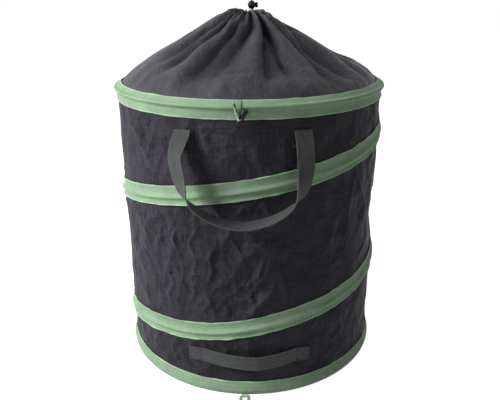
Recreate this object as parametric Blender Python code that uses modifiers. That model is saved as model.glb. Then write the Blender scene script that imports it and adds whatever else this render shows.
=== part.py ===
"""Pop up leaf bag: two spring steel hoops, a spiral spring and a gathered closure.

Metres, +Z up. The origin is on the floor on the bag's axis, and the front,
with the tipping handle, faces -Y. Everything round the axis shares one grid
of facets, so that pieces which lie on each other keep an even clearance.
"""

import math

import bmesh
import bpy
from mathutils import Matrix, Vector

# Frame of the bag
HOOP_RADIUS = 0.250
HOOP_SPACING = 0.522
BOTTOM_HOOP_HEIGHT = 0.008
FACETS = 48
CLEARANCE = 0.0003

# Spring steel wire, its ferrules and the end caps of the spiral
WIRE_RADIUS = 0.0015
WIRE_END_GAP = 0.001
FERRULE_WALL = 0.0005
FERRULE_LENGTH = 0.016
CAP_LENGTH = 0.010
CAP_END_WALL = 0.0008
FERRULE_SIDES = 12
SPIRAL_STEPS = 99
SPIRAL_FIRST_FACET = 14

# Fabric and the tape that cases the wire
FABRIC = 0.0010
TAPE = 0.0008
TOP_TAPE_DROP = 0.0195
TOP_TAPE_RISE = 0.0120
TOP_TAPE_LEAN = math.radians(57)
BOTTOM_TAPE_RISE = 0.0195
BOTTOM_TAPE_FOLD = 0.014
SPIRAL_TAPE_RISE = 0.020
SPIRAL_TAPE_DROP = 0.014

# Gathered closure
CLOSURE_HEIGHT = 0.131
CLOSURE_FABRIC = 0.0012
FOLDS = 12
FOLD_DEPTH = 0.0065
# Share of the base radius, share of the height and share of the fold depth
CLOSURE_SHARES = (
    (0.905, 0.145, 0.25),
    (0.770, 0.355, 0.75),
    (0.570, 0.580, 1.00),
    (0.360, 0.790, 1.00),
    (0.200, 0.940, 0.70),
    (0.100, 1.000, 0.20),
)

# Drawcord in its hem, its two tails and their knot
CORD_RADIUS = 0.0012
CORD_SPACING = 0.0030
HEM_RADIUS = 0.0125
HEM_DEPTH = 0.0045
HEM_SLACK = 0.0001
HEM_CURL_DEGREES = (70, 120, 170, 220, 280)
HEM_SLOT_WIDTH = 0.0150
RING_POINTS = 24
RING_OPENING = math.radians(35)
TAIL_RISE = 0.017
# Two bends of a tail under the lock, in shares of the cord's radius
TAIL_TURN_SHARES = (3.6, 1.0, 0.9)
TAIL_LIFT_SHARES = (1.2, 0.1, 2.6)
KNOT_RADIUS = 0.0038
KNOT_HEIGHT = 0.0085
KNOT_PINCH_SHARE = 0.25
KNOT_LOBE_SHARE = 0.18

# Cord lock
LOCK_RADIUS = 0.0075
LOCK_OFFSET = 0.0065
LOCK_HEIGHT = 0.1395
LOCK_FLAT = 0.0046
LOCK_BORE_WALL = 0.0021
PLUNGER_RADIUS = 0.0038
PLUNGER_END_WALL = 0.0010
PLUNGER_TRAVEL = 0.0015
BUTTON_RADIUS = 0.0047
BUTTON_LENGTH = 0.0046
BUTTON_BEVEL = 0.0006
SPRING_WIRE_RADIUS = 0.00025
SPRING_RADIUS = 0.0028
SPRING_TURNS = 2
SPRING_TURN_POINTS = 10

# Carry handles, front and rear
HANDLE_ANGLE = math.radians(22.35)
WEBBING_WIDTH = 0.030
WEBBING = 0.0018
PATCH_TOP_DROP = 0.0385
PATCH_HEIGHT = 0.029
REAR_HANDLE_LOWERED = 0.006
HANDLE_DROP = 0.187
HANDLE_LEAN_OUT = 0.0165
HANDLE_STEPS = 3
# Share of the fold's distance from the middle, of the lean outwards and of the drop,
# and the twist in degrees
HANDLE_SHARES = (
    (1.00, 0.00, 0.00, 0),
    (1.04, 0.35, 0.20, 4),
    (1.05, 0.62, 0.40, 14),
    (1.00, 0.85, 0.60, 42),
    (0.86, 1.00, 0.76, 80),
    (0.60, 1.00, 0.89, 92),
    (0.30, 1.00, 0.97, 95),
    (0.00, 1.00, 1.00, 95),
)

# Tipping handle, low on the front
TIPPING_ANGLE = math.radians(22.8)
TIPPING_OFFSET = math.radians(1.7)
TIPPING_WIDTH = 0.028
TIPPING_HEIGHT = 0.0685
TIPPING_END_DROP = 0.002
TIPPING_BULGE = 0.013
TIPPING_FULLNESS = 1.2
TIPPING_STEPS = 16

# Toggle and its loop, front and rear
TOGGLE_LENGTH = 0.032
TOGGLE_RADIUS = 0.00475
TOGGLE_BEVEL = 0.0018
TOGGLE_WAIST_RADIUS = 0.0042
TOGGLE_WAIST_LENGTH = 0.0075
TOGGLE_TILT = math.radians(28)
TOGGLE_DROP = 0.015
TOGGLE_STANDOFF = 0.0006
TOGGLE_CORD_RADIUS = 0.0013
TOGGLE_CORD_STEPS = 2
# The loop down one side of the tape, through the bar and back up: what a point is
# measured from, then its share of the cord's radius across the front and its
# shares of the bar's radius outwards and upwards
TOGGLE_CORD_SHARES = (
    ("edge", 2.2, 0, 0),
    ("foot", 2.2, 0, 0),
    ("shoulder", 2.2, 0.27, 0),
    ("ridge", 2.7, 0.06, 0),
    ("bar", 4.2, -0.82, 1.3),
    ("bar", 2.9, -1.40, 0.45),
    ("bar", 0, -1.25, 0),
    ("bar", 0, -0.5, 0),
    ("bar", 0, 0.5, 0),
    ("bar", 0, 1.25, 0),
    ("bar", 3.2, 1.45, 0.45),
    ("bar", 6.0, 0.6, 1.6),
    ("ridge", 6.0, 0.06, 0),
    ("shoulder", 6.0, 0.27, 0),
    ("foot", 6.0, 0, 0),
    ("edge", 6.0, 0, 0),
)

# Loop that holds the bag folded flat, front and rear
LOOP_CORD_RADIUS = 0.0015
LOOP_STRAIGHT = 0.0075
LOOP_CORNER = 0.0040
LOOP_REACH = 0.017
TAB_WIDTH = 0.012
TAB_BARREL_WALL = 0.0010
TAB_THICKNESS = 0.0018
TAB_STANDOFF = 0.0004

# Counts
CORNER_POINTS = 5
ROUND_SIDES = 16

# Places worked out from the sizes
FACET_ANGLE = 2 * math.pi / FACETS
TOP_HOOP_HEIGHT = BOTTOM_HOOP_HEIGHT + HOOP_SPACING
FERRULE_RADIUS = WIRE_RADIUS + CLEARANCE + FERRULE_WALL
CASING_BORE = FERRULE_RADIUS + CLEARANCE
CASING_OUTER = CASING_BORE + TAPE
WALL_OUTER = HOOP_RADIUS - CASING_BORE
FLANGE_INNER = WALL_OUTER + CLEARANCE
FLANGE_OUTER = FLANGE_INNER + TAPE
PANEL_BOTTOM = TAPE + CLEARANCE
PANEL_TOP = PANEL_BOTTOM + FABRIC
RIDGE_OUTER = HOOP_RADIUS + CASING_OUTER / math.cos(math.pi / 6)
PATCH_INNER = WALL_OUTER + CLEARANCE
PATCH_OUTER = PATCH_INNER + WEBBING
SPIRAL_DROP_PER_STEP = HOOP_SPACING / SPIRAL_STEPS
CASING_THROAT = CASING_OUTER + TAPE / 2
FACET_SAG = HOOP_RADIUS * (1 - math.cos(FACET_ANGLE / 2))
FRONT = -math.pi / 2
REAR = math.pi / 2

GREEN = (0.27, 0.50, 0.26)
DARK_FABRIC = (0.030, 0.028, 0.034)
CLOSURE_GREY = (0.045, 0.045, 0.050)
WEBBING_GREY = (0.055, 0.062, 0.058)
STEEL = (0.45, 0.45, 0.46)
BLACK_PLASTIC = (0.012, 0.012, 0.013)
CORD_BLACK = (0.020, 0.020, 0.022)


def clear_scene():
    for obj in list(bpy.data.objects):
        bpy.data.objects.remove(obj, do_unlink=True)


def new_collection(name):
    collection = bpy.data.collections.new(name)
    bpy.context.scene.collection.children.link(collection)
    return collection


def finish(obj, colour, roughness, metallic=0.0):
    """Gives a piece its own material and puts it in the bag's collection."""
    material = bpy.data.materials.new(obj.name + "_finish")
    material.use_nodes = True
    shader = material.node_tree.nodes["Principled BSDF"]
    shader.inputs["Base Color"].default_value = (*colour, 1.0)
    shader.inputs["Roughness"].default_value = roughness
    shader.inputs["Metallic"].default_value = metallic
    obj.data.materials.clear()
    obj.data.materials.append(material)
    if obj.name not in BAG.objects:
        BAG.objects.link(obj)
    return obj


def mesh_object(name, bm):
    mesh = bpy.data.meshes.new(name)
    bmesh.ops.recalc_face_normals(bm, faces=bm.faces)
    if bm.calc_volume(signed=True) < 0:
        bmesh.ops.reverse_faces(bm, faces=bm.faces)
    bm.to_mesh(mesh)
    bm.free()
    return bpy.data.objects.new(name, mesh)


def polar(radius, angle, height):
    return Vector((radius * math.cos(angle), radius * math.sin(angle), height))


def loft(name, sections, closed=False):
    """Joins sections of equal point counts, capping the ends of an open row.

    A section runs down one side and back up the other, point for point.
    """
    bm = bmesh.new()
    rings = [[bm.verts.new(point) for point in section] for section in sections]
    pairs = list(zip(rings, rings[1:]))
    if closed:
        pairs.append((rings[-1], rings[0]))
    for ring, after in pairs:
        for i in range(len(ring)):
            j = (i + 1) % len(ring)
            bm.faces.new((ring[i], ring[j], after[j], after[i]))
    if not closed:
        for ring in (rings[0], rings[-1]):
            for i in range(len(ring) // 2 - 1):
                bm.faces.new((ring[i], ring[i + 1], ring[-i - 2], ring[-i - 1]))
    return mesh_object(name, bm)


def turned(name, profile, steps, closed=True):
    """Turns a profile of (radius, height), which runs down its outer side."""
    bm = bmesh.new()
    verts = [bm.verts.new((radius, 0, height)) for radius, height in profile]
    for a, b in zip(verts, verts[1:]):
        bm.edges.new((a, b))
    if closed:
        bm.edges.new((verts[-1], verts[0]))
    mesh = bpy.data.meshes.new(name)
    bm.to_mesh(mesh)
    bm.free()
    obj = bpy.data.objects.new(name, mesh)
    screw = obj.modifiers.new("Turn", "SCREW")
    screw.steps = steps
    screw.render_steps = steps
    screw.use_merge_vertices = True
    screw.merge_threshold = CLEARANCE / 10
    screw.use_smooth_shade = False
    return obj


def tube(name, points, radius, cyclic=False, resolution=1):
    """A round cord or wire along points."""
    curve = bpy.data.curves.new(name, "CURVE")
    curve.dimensions = "3D"
    curve.bevel_depth = radius
    curve.bevel_resolution = resolution
    curve.use_fill_caps = True
    spline = curve.splines.new("POLY")
    spline.points.add(len(points) - 1)
    for slot, point in zip(spline.points, points):
        slot.co = (*point, 1)
    spline.use_cyclic_u = cyclic
    return bpy.data.objects.new(name, curve)


def smooth_route(points, steps, closed=False):
    """Points along a smooth curve through the route's own points."""
    n = len(points)
    spans = n if closed else n - 1
    route = []
    for i in range(spans):
        if closed:
            a, b, c, d = (Vector(points[(i + k) % n]) for k in (-1, 0, 1, 2))
        else:
            b, c = Vector(points[i]), Vector(points[i + 1])
            a = Vector(points[i - 1]) if i else 2 * b - c
            d = Vector(points[i + 2]) if i + 2 < n else 2 * c - b
        for k in range(steps):
            t = k / steps
            route.append(
                b
                + (c - a) * (t / 2)
                + (a - 2.5 * b + 2 * c - 0.5 * d) * t**2
                + (1.5 * b - 1.5 * c + 0.5 * (d - a)) * t**3
            )
    if not closed:
        route.append(Vector(points[-1]))
    return route


def cutter(obj):
    obj.hide_render = True
    obj.display_type = "WIRE"
    CUTTERS.objects.link(obj)
    return obj


def box(name, low, high):
    bm = bmesh.new()
    bmesh.ops.create_cube(bm, size=1)
    size = [b - a for a, b in zip(low, high)]
    middle = [(a + b) / 2 for a, b in zip(low, high)]
    bm.transform(Matrix.Translation(middle) @ Matrix.Diagonal((*size, 1)))
    return mesh_object(name, bm)


def rod(name, start, end, radius, sides=ROUND_SIDES):
    """A cylinder between two points."""
    axis = Vector(end) - Vector(start)
    bm = bmesh.new()
    bmesh.ops.create_cone(
        bm, cap_ends=True, segments=sides, radius1=radius, radius2=radius, depth=axis.length
    )
    turn = axis.to_track_quat("Z", "Y").to_matrix().to_4x4()
    bm.transform(Matrix.Translation((Vector(start) + Vector(end)) / 2) @ turn)
    return mesh_object(name, bm)


def cut(obj, tool, operation="DIFFERENCE"):
    boolean = obj.modifiers.new(tool.name, "BOOLEAN")
    boolean.object = tool
    boolean.operation = operation
    return obj


def baked(obj, name):
    """The piece's evaluated mesh as a plain mesh object."""
    bpy.context.view_layer.update()
    graph = bpy.context.evaluated_depsgraph_get()
    mesh = bpy.data.meshes.new_from_object(obj.evaluated_get(graph))
    done = bpy.data.objects.new(name, mesh)
    done.matrix_world = obj.matrix_world
    bpy.data.objects.remove(obj, do_unlink=True)
    return done


def hexagon(apothem, degrees):
    """Corners at these angles of a hexagon that clears the wire by its apothem."""
    corner = apothem / math.cos(math.pi / 6)
    turns = [math.radians(d) for d in degrees]
    return [(corner * math.cos(t), corner * math.sin(t)) for t in turns]


def casing_section(rise, drop, lean=0.0, fold=None):
    """Tape round a wire: (radial, upward) offsets from the wire's centre.

    The outer side runs down, then the inner side runs up. A leaning upper
    flange lies on the closure, and a folded lower one goes under the bag.
    """
    outward = FLANGE_OUTER - HOOP_RADIUS
    inward = FLANGE_INNER - HOOP_RADIUS
    ridge_out = hexagon(CASING_OUTER, (60, 0, -60))
    ridge_in = hexagon(CASING_BORE, (60, 0, -60))
    if lean:
        inner_start = hexagon(CASING_BORE, (120,))[0]
        run = (-math.sin(lean) * rise, math.cos(lean) * rise)
        skin = (math.cos(lean) * TAPE, math.sin(lean) * TAPE)
        inner_end = (inner_start[0] + run[0], inner_start[1] + run[1])
        upper_in = [inner_start, inner_end]
        upper_out = [(x + skin[0], z + skin[1]) for x, z in upper_in]
    else:
        upper_in = [(inward, CASING_THROAT), (inward, rise)]
        upper_out = [(outward, CASING_THROAT + TAPE), (outward, rise)]
    if fold:
        floor = -BOTTOM_HOOP_HEIGHT
        lower_out = [(outward, -CASING_THROAT - TAPE), (outward, floor)]
        lower_out.append((inward - fold, floor))
        lower_in = [(inward, -CASING_THROAT), (inward, floor + TAPE)]
        lower_in.append((inward - fold, floor + TAPE))
    else:
        lower_out = [(outward, -CASING_THROAT - TAPE), (outward, -drop)]
        lower_in = [(inward, -CASING_THROAT), (inward, -drop)]
    outer = upper_out[::-1] + ridge_out + lower_out
    inner = upper_in[::-1] + ridge_in + lower_in
    return outer + inner[::-1]


def hoop_wire(name, height):
    """A hoop whose two ends meet, a little apart, in its ferrule."""
    corners = [polar(HOOP_RADIUS, k * FACET_ANGLE, height) for k in range(FACETS)]
    seam = FACETS // 4
    corners = corners[seam + 1 :] + corners[: seam + 1]
    along = (corners[0] - corners[-1]).normalized() * (WIRE_END_GAP / 2)
    middle = (corners[0] + corners[-1]) / 2
    points = [middle + along, *corners, middle - along]
    finish(tube(name, points, WIRE_RADIUS), STEEL, 0.35, 1.0)
    return middle, along


def hoop_ferrule(name, middle, along):
    half = FERRULE_LENGTH / 2
    bore = WIRE_RADIUS + CLEARANCE
    profile = [(FERRULE_RADIUS, half), (FERRULE_RADIUS, -half), (bore, -half), (bore, half)]
    obj = turned(name, profile, FERRULE_SIDES)
    obj.location = middle
    obj.rotation_mode = "QUATERNION"
    obj.rotation_quaternion = along.to_track_quat("Z", "Y")
    finish(obj, STEEL, 0.30, 1.0)


def hoop_tape(name, height, section):
    profile = [(HOOP_RADIUS + x, height + z) for x, z in section]
    finish(turned(name, profile, FACETS), GREEN, 0.75)


def spiral_point(step, radial=0.0, upward=0.0):
    angle = (SPIRAL_FIRST_FACET - step) * FACET_ANGLE
    height = TOP_HOOP_HEIGHT - step * SPIRAL_DROP_PER_STEP
    return polar(HOOP_RADIUS + radial, angle, height + upward)


def spiral_ends():
    """First and last step whose casing clears both hoop tapes."""
    ridge = CASING_THROAT + TAPE + CLEARANCE
    first = math.ceil((TOP_TAPE_DROP + ridge) / SPIRAL_DROP_PER_STEP)
    last = math.ceil((BOTTOM_TAPE_RISE + ridge) / SPIRAL_DROP_PER_STEP)
    return first, SPIRAL_STEPS - last


def spiral_tape():
    """The tape follows the spiral and is trimmed flat at the hoop tapes."""
    first, last = spiral_ends()
    section = casing_section(SPIRAL_TAPE_RISE, SPIRAL_TAPE_DROP)
    highest = TOP_HOOP_HEIGHT - TOP_TAPE_DROP - CLEARANCE
    lowest = BOTTOM_HOOP_HEIGHT + BOTTOM_TAPE_RISE + CLEARANCE
    sections = []
    for step in range(first, last + 1):
        points = [spiral_point(step, x, z) for x, z in section]
        for point in points:
            point.z = min(max(point.z, lowest), highest)
        sections.append(points)
    finish(loft("spiral_tape", sections), GREEN, 0.75)


def spiral_wire():
    first, last = spiral_ends()
    inset = CAP_END_WALL + 2 * CLEARANCE
    corners = [spiral_point(step) for step in range(first, last + 1)]
    for end, after in ((0, 1), (-1, -2)):
        along = (corners[after] - corners[end]).normalized()
        spiral_cap(("spiral_cap_upper", "spiral_cap_lower")[end], corners[end], along)
        corners[end] = corners[end] + along * inset
    finish(tube("spiral_wire", corners, WIRE_RADIUS), STEEL, 0.35, 1.0)


def spiral_cap(name, end, along):
    """A cup over the wire's end, its closed end flush inside the casing."""
    bore = WIRE_RADIUS + CLEARANCE
    floor = CLEARANCE + CAP_END_WALL
    lip = CLEARANCE + CAP_LENGTH
    profile = [
        (0, -CLEARANCE),
        (FERRULE_RADIUS, -CLEARANCE),
        (FERRULE_RADIUS, -lip),
        (bore, -lip),
        (bore, -floor),
        (0, -floor),
    ]
    obj = turned(name, profile, FERRULE_SIDES, closed=False)
    obj.location = end
    obj.rotation_mode = "QUATERNION"
    obj.rotation_quaternion = (-along).to_track_quat("Z", "Y")
    finish(obj, BLACK_PLASTIC, 0.5)


def side_wall():
    low = PANEL_TOP + CLEARANCE
    inner = WALL_OUTER - FABRIC
    high = TOP_HOOP_HEIGHT
    profile = [(WALL_OUTER, high), (WALL_OUTER, low), (inner, low), (inner, high)]
    finish(turned("side_wall", profile, FACETS), DARK_FABRIC, 0.85)


def bottom_panel():
    profile = [(0, PANEL_TOP), (WALL_OUTER, PANEL_TOP), (WALL_OUTER, PANEL_BOTTOM), (0, PANEL_BOTTOM)]
    finish(turned("bottom_panel", profile, FACETS, closed=False), DARK_FABRIC, 0.85)


def closure_outline():
    """Outer and inner (radius, height, fold depth) from the base to the hem's end."""
    seat = CLEARANCE + FACET_SAG
    lean = Vector((-math.sin(TOP_TAPE_LEAN), math.cos(TOP_TAPE_LEAN)))
    normal = Vector((math.cos(TOP_TAPE_LEAN), math.sin(TOP_TAPE_LEAN)))
    start = Vector(hexagon(CASING_BORE, (120,))[0]) - normal * seat
    base_offset = WALL_OUTER - CLEARANCE - HOOP_RADIUS
    corner = start + lean * ((base_offset - start.x) / lean.x)
    tape_end = start + lean * TOP_TAPE_RISE
    outer = [
        (HOOP_RADIUS + base_offset, CLEARANCE, 0),
        (HOOP_RADIUS + corner.x, corner.y, 0),
        (HOOP_RADIUS + tape_end.x, tape_end.y, 0),
    ]
    for radius_share, height_share, depth_share in CLOSURE_SHARES:
        place = (HOOP_RADIUS * radius_share, CLOSURE_HEIGHT * height_share)
        outer.append((*place, FOLD_DEPTH * depth_share))
    outline = [Vector(point[:2]) for point in outer]
    inner = []
    for i, (radius, height, depth) in enumerate(outer):
        before = outline[max(i - 1, 0)]
        after = outline[min(i + 1, len(outline) - 1)]
        along = (after - before).normalized()
        skin = Vector((-along.y, along.x)) * CLOSURE_FABRIC
        inner.append((radius + skin.x, height + skin.y, depth))
    # The underside of the base stays level with the wall's top edge.
    inner[0] = (outer[0][0] - CLOSURE_FABRIC, outer[0][1], 0)
    bore = CORD_RADIUS + CLEARANCE + HEM_SLACK
    hem = CLOSURE_HEIGHT - HEM_DEPTH
    for degrees in HEM_CURL_DEGREES:
        turn = math.radians(degrees)
        for side, reach in ((outer, bore + CLOSURE_FABRIC), (inner, bore)):
            side.append((HEM_RADIUS + reach * math.cos(turn), hem + reach * math.sin(turn), 0))
    return outer, inner


def closure_point(radius, height, depth, angle):
    """A point of the gathered cloth: the folds rise and sink across the cone."""
    wave = math.cos(FOLDS * angle)
    slope = math.atan2(CLOSURE_HEIGHT, HOOP_RADIUS)
    rise = depth * wave
    place = TOP_HOOP_HEIGHT + height + rise * math.cos(slope)
    return polar(radius + rise * math.sin(slope), angle, place)


def top_closure():
    """A gathered cone whose hem curls round the drawcord."""
    outer, inner = closure_outline()
    outline = outer + inner[::-1]
    sections = [
        [closure_point(*place, k * FACET_ANGLE) for place in outline] for k in range(FACETS)
    ]
    obj = loft("top_closure", sections, closed=True)
    hem = TOP_HOOP_HEIGHT + CLOSURE_HEIGHT - HEM_DEPTH
    reach = CORD_RADIUS + CLEARANCE + HEM_SLACK + CLOSURE_FABRIC + CLEARANCE
    low = (LOCK_OFFSET, -HEM_SLOT_WIDTH / 2, hem - CORD_RADIUS - CLEARANCE)
    high = (HEM_RADIUS, HEM_SLOT_WIDTH / 2, hem + reach)
    cut(obj, cutter(box("hem_slot_cutter", low, high)))
    finish(obj, CLOSURE_GREY, 0.7)


def drawcord():
    """The ring in the hem, and the two tails through the cord lock to a knot."""
    hem = TOP_HOOP_HEIGHT + CLOSURE_HEIGHT - HEM_DEPTH
    sweep = 2 * math.pi - 2 * RING_OPENING
    ring = [
        polar(HEM_RADIUS, RING_OPENING + sweep * k / RING_POINTS, hem)
        for k in range(RING_POINTS + 1)
    ]
    finish(tube("drawcord_ring", ring, CORD_RADIUS), CORD_BLACK, 0.8)
    lock = TOP_HOOP_HEIGHT + LOCK_HEIGHT
    top = lock + LOCK_RADIUS + TAIL_RISE
    for name, side in (("drawcord_tail_left", 1), ("drawcord_tail_right", -1)):
        end = polar(HEM_RADIUS, side * RING_OPENING, hem)
        away = Vector((math.sin(RING_OPENING), -side * math.cos(RING_OPENING), 0))
        start = end + away * 2 * CLEARANCE
        across = side * CORD_SPACING / 2
        bend = start + away * 2 * CORD_RADIUS
        step = Vector((CORD_RADIUS, side * CORD_RADIUS, CORD_RADIUS))
        base = Vector((LOCK_OFFSET, across, hem))
        turn = base + step * Vector(TAIL_TURN_SHARES)
        lift = base + step * Vector(TAIL_LIFT_SHARES)
        rise = Vector((LOCK_OFFSET, across, lock - LOCK_RADIUS))
        route = smooth_route([start, bend, turn, lift, rise], CORNER_POINTS - 1)
        route.append(Vector((LOCK_OFFSET, across, top)))
        finish(tube(name, route, CORD_RADIUS), CORD_BLACK, 0.8)
    bm = bmesh.new()
    bmesh.ops.create_uvsphere(bm, u_segments=ROUND_SIDES // 2, v_segments=ROUND_SIDES // 3, radius=1)
    for vert in bm.verts:
        # A wrap round the middle of the knot draws its ends in.
        pinch = 1 - KNOT_PINCH_SHARE * vert.co.z**2
        lobe = 1 + KNOT_LOBE_SHARE * math.cos(2 * math.atan2(vert.co.y, vert.co.x))
        vert.co.x *= pinch * lobe
        vert.co.y *= pinch * lobe
    size = (KNOT_RADIUS, KNOT_RADIUS, KNOT_HEIGHT / 2)
    bm.transform(Matrix.Diagonal((*size, 1)))
    centre = (LOCK_OFFSET, 0, top + CLEARANCE + KNOT_HEIGHT / 2)
    bm.transform(Matrix.Translation(centre))
    finish(mesh_object("drawcord_knot", bm), CORD_BLACK, 0.8)


def lock_point(x, y=0.0, z=0.0):
    return Vector((LOCK_OFFSET + x, y, TOP_HOOP_HEIGHT + LOCK_HEIGHT + z))


def cord_lock():
    """A ball with a sprung plunger that pinches the two cords."""
    slot_side = CORD_SPACING / 2 + CORD_RADIUS + CLEARANCE
    grip = CORD_RADIUS + CLEARANCE
    bore_end = -(LOCK_RADIUS - LOCK_BORE_WALL)
    bore_radius = PLUNGER_RADIUS + CLEARANCE
    stem_end = -grip - PLUNGER_END_WALL
    stem_face = LOCK_FLAT + CLEARANCE + PLUNGER_TRAVEL
    bm = bmesh.new()
    bmesh.ops.create_uvsphere(bm, u_segments=ROUND_SIDES, v_segments=ROUND_SIDES // 2, radius=LOCK_RADIUS)
    bm.transform(Matrix.Translation(lock_point(0)))
    ball = mesh_object("cord_lock_body", bm)
    over = 2 * LOCK_RADIUS
    face = box("lock_flat_cutter", lock_point(LOCK_FLAT, -over, -over), lock_point(over, over, over))
    bore = rod("lock_bore_cutter", lock_point(bore_end), lock_point(over), bore_radius)
    slot = box(
        "lock_slot_cutter", lock_point(-grip, -slot_side, -over), lock_point(grip, slot_side, over)
    )
    for tool in (face, bore, slot):
        cut(ball, cutter(tool))
    finish(ball, BLACK_PLASTIC, 0.25)
    profile = [
        (0, BUTTON_LENGTH),
        (BUTTON_RADIUS - BUTTON_BEVEL, BUTTON_LENGTH),
        (BUTTON_RADIUS, BUTTON_LENGTH - BUTTON_BEVEL),
        (BUTTON_RADIUS, 0),
        (PLUNGER_RADIUS, 0),
        (PLUNGER_RADIUS, stem_end - stem_face),
        (0, stem_end - stem_face),
    ]
    button = turned("cord_lock_button", profile, ROUND_SIDES, closed=False)
    button.location = lock_point(stem_face)
    button.rotation_euler = (0, math.pi / 2, 0)
    window = box(
        "plunger_slot_cutter",
        lock_point(-grip, -slot_side, -over),
        lock_point(grip + PLUNGER_TRAVEL, slot_side, over),
    )
    cut(button, cutter(window))
    finish(button, BLACK_PLASTIC, 0.3)
    start = bore_end + CLEARANCE + SPRING_WIRE_RADIUS
    end = stem_end - CLEARANCE - SPRING_WIRE_RADIUS
    count = SPRING_TURNS * SPRING_TURN_POINTS
    coil = []
    for k in range(count + 1):
        angle = 2 * math.pi * k / SPRING_TURN_POINTS
        x = start + (end - start) * k / count
        coil.append(lock_point(x, SPRING_RADIUS * math.cos(angle), SPRING_RADIUS * math.sin(angle)))
    finish(tube("cord_lock_spring", coil, SPRING_WIRE_RADIUS), STEEL, 0.3, 1.0)


def arc_plate(name, start, end, low, high, inner, thickness):
    """A plate that follows the wall between two angles, on the wall's own facets."""
    angles = [start]
    angles += [k * FACET_ANGLE for k in range(-FACETS, FACETS) if start < k * FACET_ANGLE < end]
    angles.append(end)
    outer = inner + thickness
    corners = ((outer, high), (outer, low), (inner, low), (inner, high))
    return loft(name, [[polar(r, angle, z) for r, z in corners] for angle in angles])


def strap_section(centre, across, normal, width, thickness):
    """A flat strap's section: its width lies along across."""
    w = across.normalized() * (width / 2)
    t = normal.normalized() * (thickness / 2)
    return [centre + w + t, centre + w - t, centre - w - t, centre - w + t]


def handle_route():
    """Right half of a carry handle as (place, twist), from its fold to its middle.

    x is across the front, y outward from the axis and z down from the fold.
    """
    leg = PATCH_OUTER + CLEARANCE + WEBBING / 2
    leg_x = leg * math.sin(HANDLE_ANGLE)
    leg_y = leg * math.cos(HANDLE_ANGLE)
    lean = RIDGE_OUTER + HANDLE_LEAN_OUT - leg_y
    drop = HANDLE_DROP - PATCH_TOP_DROP
    places = []
    twists = []
    for across, outward, down, degrees in HANDLE_SHARES:
        places.append((leg_x * across, leg_y + lean * outward, -drop * down))
        twists.append((math.radians(degrees), 0, 0))
    # The middle's far neighbour keeps the grip level where its two halves meet.
    places.append((-places[-2][0], places[-2][1], places[-2][2]))
    twists.append(twists[-2])
    route = smooth_route(places, HANDLE_STEPS)[:-HANDLE_STEPS]
    turns = smooth_route(twists, HANDLE_STEPS)[:-HANDLE_STEPS]
    return [(place, turn.x) for place, turn in zip(route, turns)]


def handle_strap(name, facing, fold):
    """A carry handle: flat legs, a twist at each corner and a tilted grip."""
    half = handle_route()
    places = [place for place, _ in half] + [Vector((-p.x, p.y, p.z)) for p, _ in half[-2::-1]]
    twists = [twist for _, twist in half] + [twist for _, twist in half[-2::-1]]
    turn = Matrix.Rotation(facing - math.pi / 2, 4, "Z")
    sections = []
    for i, (place, twist) in enumerate(zip(places, twists)):
        before = places[max(i - 1, 0)]
        after = places[min(i + 1, len(places) - 1)]
        along = (after - before).normalized()
        # On its legs the strap lies along the wall, and lower down it faces forwards.
        wrap = math.atan2(place.x, place.y) * (1 - min(1, -place.z / (HANDLE_DROP - PATCH_TOP_DROP)))
        outward = Vector((math.sin(wrap), math.cos(wrap), 0))
        normal = (outward - along * outward.dot(along)).normalized()
        across = along.cross(normal)
        swing = Matrix.Rotation(twist, 3, along)
        section = strap_section(place, swing @ across, swing @ normal, WEBBING_WIDTH, WEBBING)
        sections.append([turn @ (point + Vector((0, 0, fold))) for point in section])
    finish(loft(name, sections), WEBBING_GREY, 0.8)


def carry_handle(side, facing, lowered):
    """The strap and its sewn ends, lowered where the spiral's tape starts."""
    top = TOP_HOOP_HEIGHT - PATCH_TOP_DROP - lowered
    handle_strap(side + "_handle", facing, top)
    half = WEBBING_WIDTH / 2 / WALL_OUTER
    for hand, angle in (("left", -HANDLE_ANGLE), ("right", HANDLE_ANGLE)):
        middle = facing + angle
        patch = arc_plate(
            f"{side}_handle_patch_{hand}",
            middle - half,
            middle + half,
            top - PATCH_HEIGHT,
            top,
            PATCH_INNER,
            WEBBING,
        )
        finish(patch, WEBBING_GREY, 0.8)


def tipping_handle():
    """A strap sewn to the wall at both ends, standing off it between them."""
    half = TIPPING_WIDTH / 2
    end = half / WALL_OUTER
    middle = FRONT + TIPPING_OFFSET
    sections = []
    shares = [-1] + [-1 + 2 * k / TIPPING_STEPS for k in range(TIPPING_STEPS + 1)] + [1]
    for i, share in enumerate(shares):
        outermost = i in (0, len(shares) - 1)
        reach = TIPPING_ANGLE + (end if outermost else -end)
        arch = max(0, math.cos(share * math.pi / 2)) ** TIPPING_FULLNESS
        stand = 0 if outermost else TIPPING_BULGE * arch
        inner = PATCH_INNER + FACET_SAG + stand
        drop = TIPPING_END_DROP if outermost else 0
        centre = BOTTOM_HOOP_HEIGHT + TIPPING_HEIGHT - drop
        angle = middle + share * reach
        corners = (
            (inner + WEBBING, centre + half),
            (inner + WEBBING, centre - half),
            (inner, centre - half),
            (inner, centre + half),
        )
        sections.append([polar(r, angle, z) for r, z in corners])
    finish(loft("tipping_handle", sections), WEBBING_GREY, 0.8)


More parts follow.
